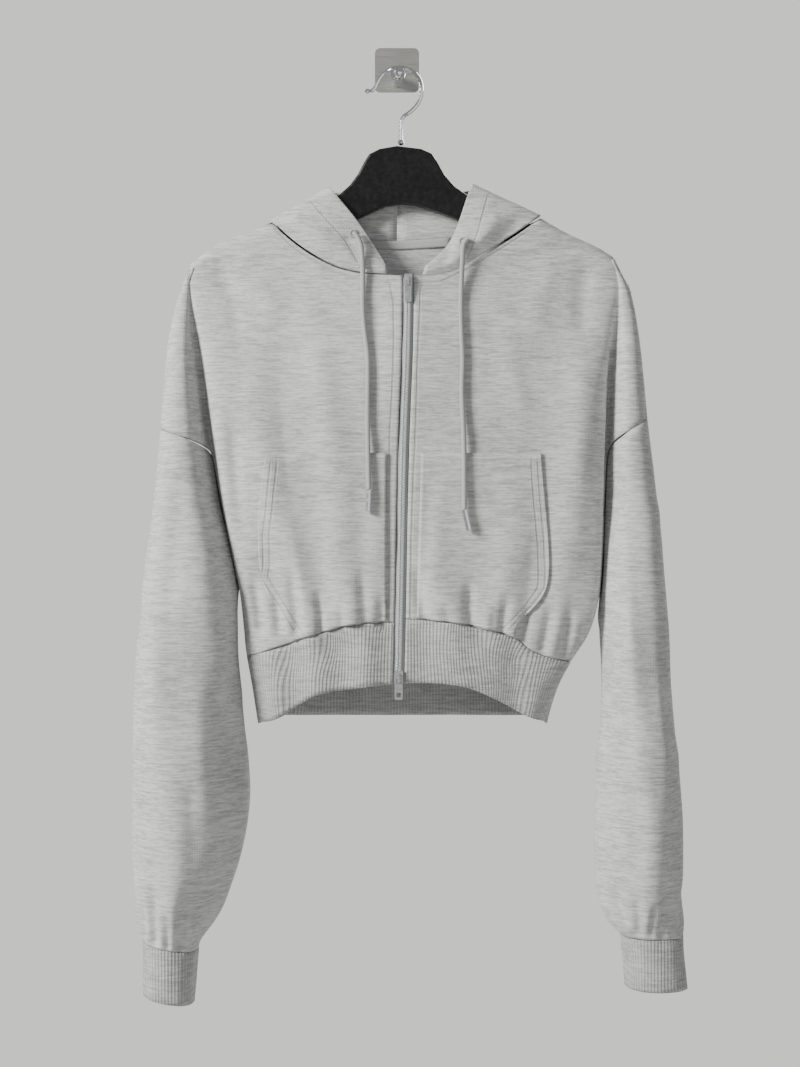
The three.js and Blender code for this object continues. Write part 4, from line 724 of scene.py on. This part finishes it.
# Sewn lines seen in the photograph, as pixels.
CASING_LINE = {
    "right": ((311, 200), (325, 217), (345, 239), (358, 262)),
    "left": ((488, 196), (477, 235), (465, 263)),
}
NECK_LINE = {
    "right": ((274, 227), (289.5, 243), (309, 257), (339, 273), (361, 279), (398, 281)),
    "left": ((527, 231), (503, 247), (467.5, 269), (440, 282), (412, 283)),
}
STRIP_LINE = {
    "right": (
        (390, 282), (393.6, 298), (394, 341), (392.7, 387), (390, 433), (390, 489), (389, 622),
    ),
    "left": (
        (421, 285), (420.5, 304), (418, 359), (416.5, 415), (414, 470), (411.5, 540), (410.5, 622),
    ),
}
POCKET_EDGE = {
    "right": ((268, 461), (263.5, 510), (260, 534), (261, 565), (259, 577), (292, 629)),
    "left": ((541, 460), (543, 494), (547, 542), (548, 573), (547, 588), (533, 607), (512, 628)),
}
POCKET_TOP = {
    "right": ((270, 461), (330, 458), (387, 454)),
    "left": ((539, 460), (480, 454), (427, 448)),
}
# A pocket's two rows of stitches run this many pixels inside its edge.
EDGE_INSET = 2.5
STITCH_INSET = 9

# How far each piece's sewn lines stand in front of the wall, in millimetres.
FRONT_EDGE_DEPTH = 64
NECK_DEPTH = 41
CASING_DEPTH = 42
POCKET_DEPTH = 72


def distances(piece, name, pixels, depth):
    """Stores each point's distance from a sewn line."""
    x, y, z = place_of(piece)
    gap = from_path(x, z, [spot(u, v, depth) for u, v in pixels])[0]
    store(piece, name, gap * MM)


def inset(pixels, amount):
    """The same line, moved sideways in pixels."""
    return tuple((u + amount, v) for u, v in pixels)


for side, inwards in (("right", 1), ("left", -1)):
    distances(shells[f"front_{side}"], "seam_zip", STRIP_LINE[side], FRONT_EDGE_DEPTH)
    distances(shells[f"front_{side}"], "seam_neck", NECK_LINE[side], NECK_DEPTH)
    distances(shells[f"hood_{side}"], "seam_casing", CASING_LINE[side], CASING_DEPTH)
    edge = POCKET_EDGE[side]
    outer_line = inset(edge, EDGE_INSET * inwards)
    inner_line = inset(edge, STITCH_INSET * inwards)
    distances(shells[f"pocket_{side}"], "seam_edge", outer_line, POCKET_DEPTH)
    distances(shells[f"pocket_{side}"], "seam_inner", inner_line, POCKET_DEPTH)

bpy.context.view_layer.update()


def surface(name):
    """What a ray meets: the finished shell of a piece."""
    return BVHTree.FromObject(shells[name], bpy.context.evaluated_depsgraph_get())


def meet(tree, u, v):
    """The cloth behind a pixel of the photograph, and its normal turned to the viewer."""
    place, out = tree.ray_cast(EYE, (wall_spot(u, v) - EYE).normalized())[:2]
    if out is not None and out.y > 0:
        out = -out
    return place, out


def tiny_block(form, middle, along, out, length, width, height):
    """Adds one rounded block, such as a stitch or a zip tooth, to a mesh."""
    across = along.cross(out).normalized()
    out = across.cross(along).normalized()
    turn = Matrix((across, along.normalized(), out)).transposed().to_4x4()
    size = Matrix.Diagonal((width / 2, length / 2, height / 2, 1))
    bmesh.ops.create_uvsphere(
        form, u_segments=6, v_segments=4, radius=1, matrix=Matrix.Translation(middle) @ turn @ size)


STITCH_PITCH = 3.0 * MM
STITCH_LENGTH = 2.3 * MM
STITCH_WIDTH = 0.55 * MM
STITCH_HEIGHT = 0.5 * MM
STITCH_START = 0.3
STITCH_END = 0.7
LONGEST_JUMP = 4 * STITCH_PITCH


def stitches(name, lines, cloth_name):
    """A row of stitches along each line, lying on a piece of cloth."""
    tree = surface(cloth_name)
    form = bmesh.new()
    for pixels in lines:
        path = [Vector((u, v, 0)) for u, v in pixels]
        for a, b in zip(path, path[1:]):
            count = max(1, round((b - a).length * PIXEL / STITCH_PITCH))
            for k in range(count):
                here = a.lerp(b, (k + STITCH_START) / count)
                there = a.lerp(b, (k + STITCH_END) / count)
                p, out = meet(tree, here.x, here.y)
                q = meet(tree, there.x, there.y)[0]
                if p is None or q is None or (q - p).length > LONGEST_JUMP:
                    continue
                tiny_block(
                    form, (p + q) / 2, (q - p).normalized(), out,
                    STITCH_LENGTH, STITCH_WIDTH, STITCH_HEIGHT)
    mesh = mesh_of(form, name)
    smooth(mesh)
    link(name, mesh, thread)


for side, inwards in (("right", 1), ("left", -1)):
    stitches(f"stitches_hood_{side}", [CASING_LINE[side]], f"hood_{side}")
    stitches(f"stitches_front_{side}", [STRIP_LINE[side], NECK_LINE[side]], f"front_{side}")
    edge = POCKET_EDGE[side]
    pocket_lines = [inset(edge, EDGE_INSET * inwards), inset(edge, STITCH_INSET * inwards)]
    stitches(f"stitches_pocket_{side}", [*pocket_lines, POCKET_TOP[side]], f"pocket_{side}")

# The eyelets' middles as pixels, and their rings of thread.
EYELETS = {"right": (353.8, 233.3), "left": (463, 241)}
EYELET_RADIUS = 3.4 * MM
EYELET_THREADS = 22
EYELET_THREAD = {"length": 1.9 * MM, "width": 1.0 * MM, "height": 0.8 * MM}


def eyelet(side):
    """A sewn eyelet: a ring of thread round the hole that the cord leaves by."""
    middle, out = meet(surface(f"hood_{side}"), *EYELETS[side])
    turn = out.to_track_quat("Z", "Y").to_matrix().to_4x4()
    form = bmesh.new()
    for k in range(EYELET_THREADS):
        angle = 2 * math.pi * k / EYELET_THREADS
        at = Vector((math.cos(angle), math.sin(angle), 0.12)) * EYELET_RADIUS
        facing = Vector((math.cos(angle), math.sin(angle), 0))
        tiny_block(form, middle + turn @ at, (turn @ facing).normalized(), out, **EYELET_THREAD)
    link(f"eyelet_{side}", mesh_of(form, f"eyelet_{side}"), thread)


for side in ("right", "left"):
    eyelet(side)

# The zip: a woven tape each side with its teeth, one set reaching between the other. Each tooth
# lies across the zip, and the two sets stand apart by twice the offset.
TOOTH_PITCH = 2.5 * MM
TOOTH = {"length": 3.5 * MM, "width": 1.4375 * MM, "height": 1.5 * MM}
TOOTH_OFFSET = 0.95 * MM
TOOTH_SINK = 0.25 * MM
TOP_STOP = -214 * MM
BOTTOM_STOP = -566 * MM


def zip_line():
    """The zip's middle at each height, from its two tapes."""
    p = np.vstack([points_of("zip_tape_right"), points_of("zip_tape_left")])
    heights = np.unique(np.round(p[:, 2], 4))
    rows = []
    for z in heights:
        here = p[np.abs(p[:, 2] - z) < 1e-4]
        rows.append((z, here[:, 0].mean(), here[:, 1].min()))
    return np.array(rows)


def flat_field(x, y, z):
    """No creases at all."""
    return np.zeros(x.shape), np.zeros(x.shape)


line = zip_line()
for side, sign in (("right", -1), ("left", 1)):
    cloth(f"zip_tape_{side}", flat_field, 1, zip_cloth)
    form = bmesh.new()
    start = TOP_STOP if sign < 0 else TOP_STOP - TOOTH_PITCH / 2
    for z in np.arange(start, BOTTOM_STOP, -TOOTH_PITCH):
        x = np.interp(z, line[:, 0], line[:, 1])
        y = np.interp(z, line[:, 0], line[:, 2])
        middle = Vector((x + sign * TOOTH_OFFSET, y + TOOTH_SINK, z))
        tiny_block(form, middle, Vector((1, 0, 0)), Vector((0, -1, 0)), **TOOTH)
    mesh = mesh_of(form, f"zip_teeth_{side}")
    smooth(mesh)
    link(f"zip_teeth_{side}", mesh, teeth_metal)

# Hard parts keep their CAD shape.
FINISHES = {
    "zip_slider_top": slider_metal,
    "zip_slider_bottom": slider_metal,
    "zip_pull_top": slider_metal,
    "zip_pull_bottom": slider_metal,
    "aglet_right": tip_metal,
    "aglet_left": tip_metal,
    "hanger": hanger_black,
    "hanger_hook": hook_chrome,
    "wall_plate": brushed,
    "wall_post": hook_chrome,
}
for name, finish in FINISHES.items():
    nodes[name].data.materials.clear()
    nodes[name].data.materials.append(finish)


def lamp(name, place, target, size, power, colour):
    """A soft lamp that faces a point."""
    data = bpy.data.lights.new(name, "AREA")
    data.shape = "DISK"
    data.size = size
    data.energy = power
    data.color = colour
    made = bpy.data.objects.new(name, data)
    made.location = place
    made.rotation_euler = (Vector(target) - Vector(place)).to_track_quat("-Z", "Y").to_euler()
    bpy.context.collection.objects.link(made)


HOODIE_MIDDLE = (0, 0, -0.45)
lamp("window", (-2.5, -1.45, 0.85), HOODIE_MIDDLE, 1.0, 185, (1.0, 0.99, 0.97))
lamp("room", (1.8, -2.6, -0.2), HOODIE_MIDDLE, 2.4, 12, (0.97, 0.98, 1.0))
lamp("behind", (1.2, 2.2, 0.8), HOODIE_MIDDLE, 1.6, 45, (1.0, 1.0, 1.0))

# The pale room behind the hoodie; it lights the cloth less than it shows.
ROOM = (0.60, 0.605, 0.59, 1)
ROOM_SHOWN = 1.5
ROOM_LIGHT = 0.5
world = bpy.data.worlds.new("room_light")
world.use_nodes = True
tree = world.node_tree
shown = tree.nodes["Background"]
shown.inputs["Color"].default_value = ROOM
shown.inputs["Strength"].default_value = ROOM_SHOWN
lighting = node(tree, "ShaderNodeBackground", Strength=ROOM_LIGHT)
lighting.inputs["Color"].default_value = ROOM
path = node(tree, "ShaderNodeLightPath")
mixed = node(tree, "ShaderNodeMixShader")
tree.links.new(path.outputs["Is Camera Ray"], mixed.inputs["Fac"])
tree.links.new(lighting.outputs["Background"], mixed.inputs[1])
tree.links.new(shown.outputs["Background"], mixed.inputs[2])
tree.links.new(mixed.outputs["Shader"], tree.nodes["World Output"].inputs["Surface"])
bpy.context.scene.world = world

# A pale floor below the hoodie.
paint = plain("paint", (0.57, 0.575, 0.56), (0.60, 0.605, 0.59), (60, 60, 60), 0.9, 0, 0.05, 0.2)
FLOOR_MIDDLE = (0, -0.3, -1.7)
FLOOR_HALF_SIZE = 1.6
form = bmesh.new()
bmesh.ops.create_grid(
    form, x_segments=1, y_segments=1, size=FLOOR_HALF_SIZE, matrix=Matrix.Translation(FLOOR_MIDDLE))
floor = bpy.data.objects.new("floor", mesh_of(form, "floor"))
floor.data.materials.append(paint)
bpy.context.collection.objects.link(floor)
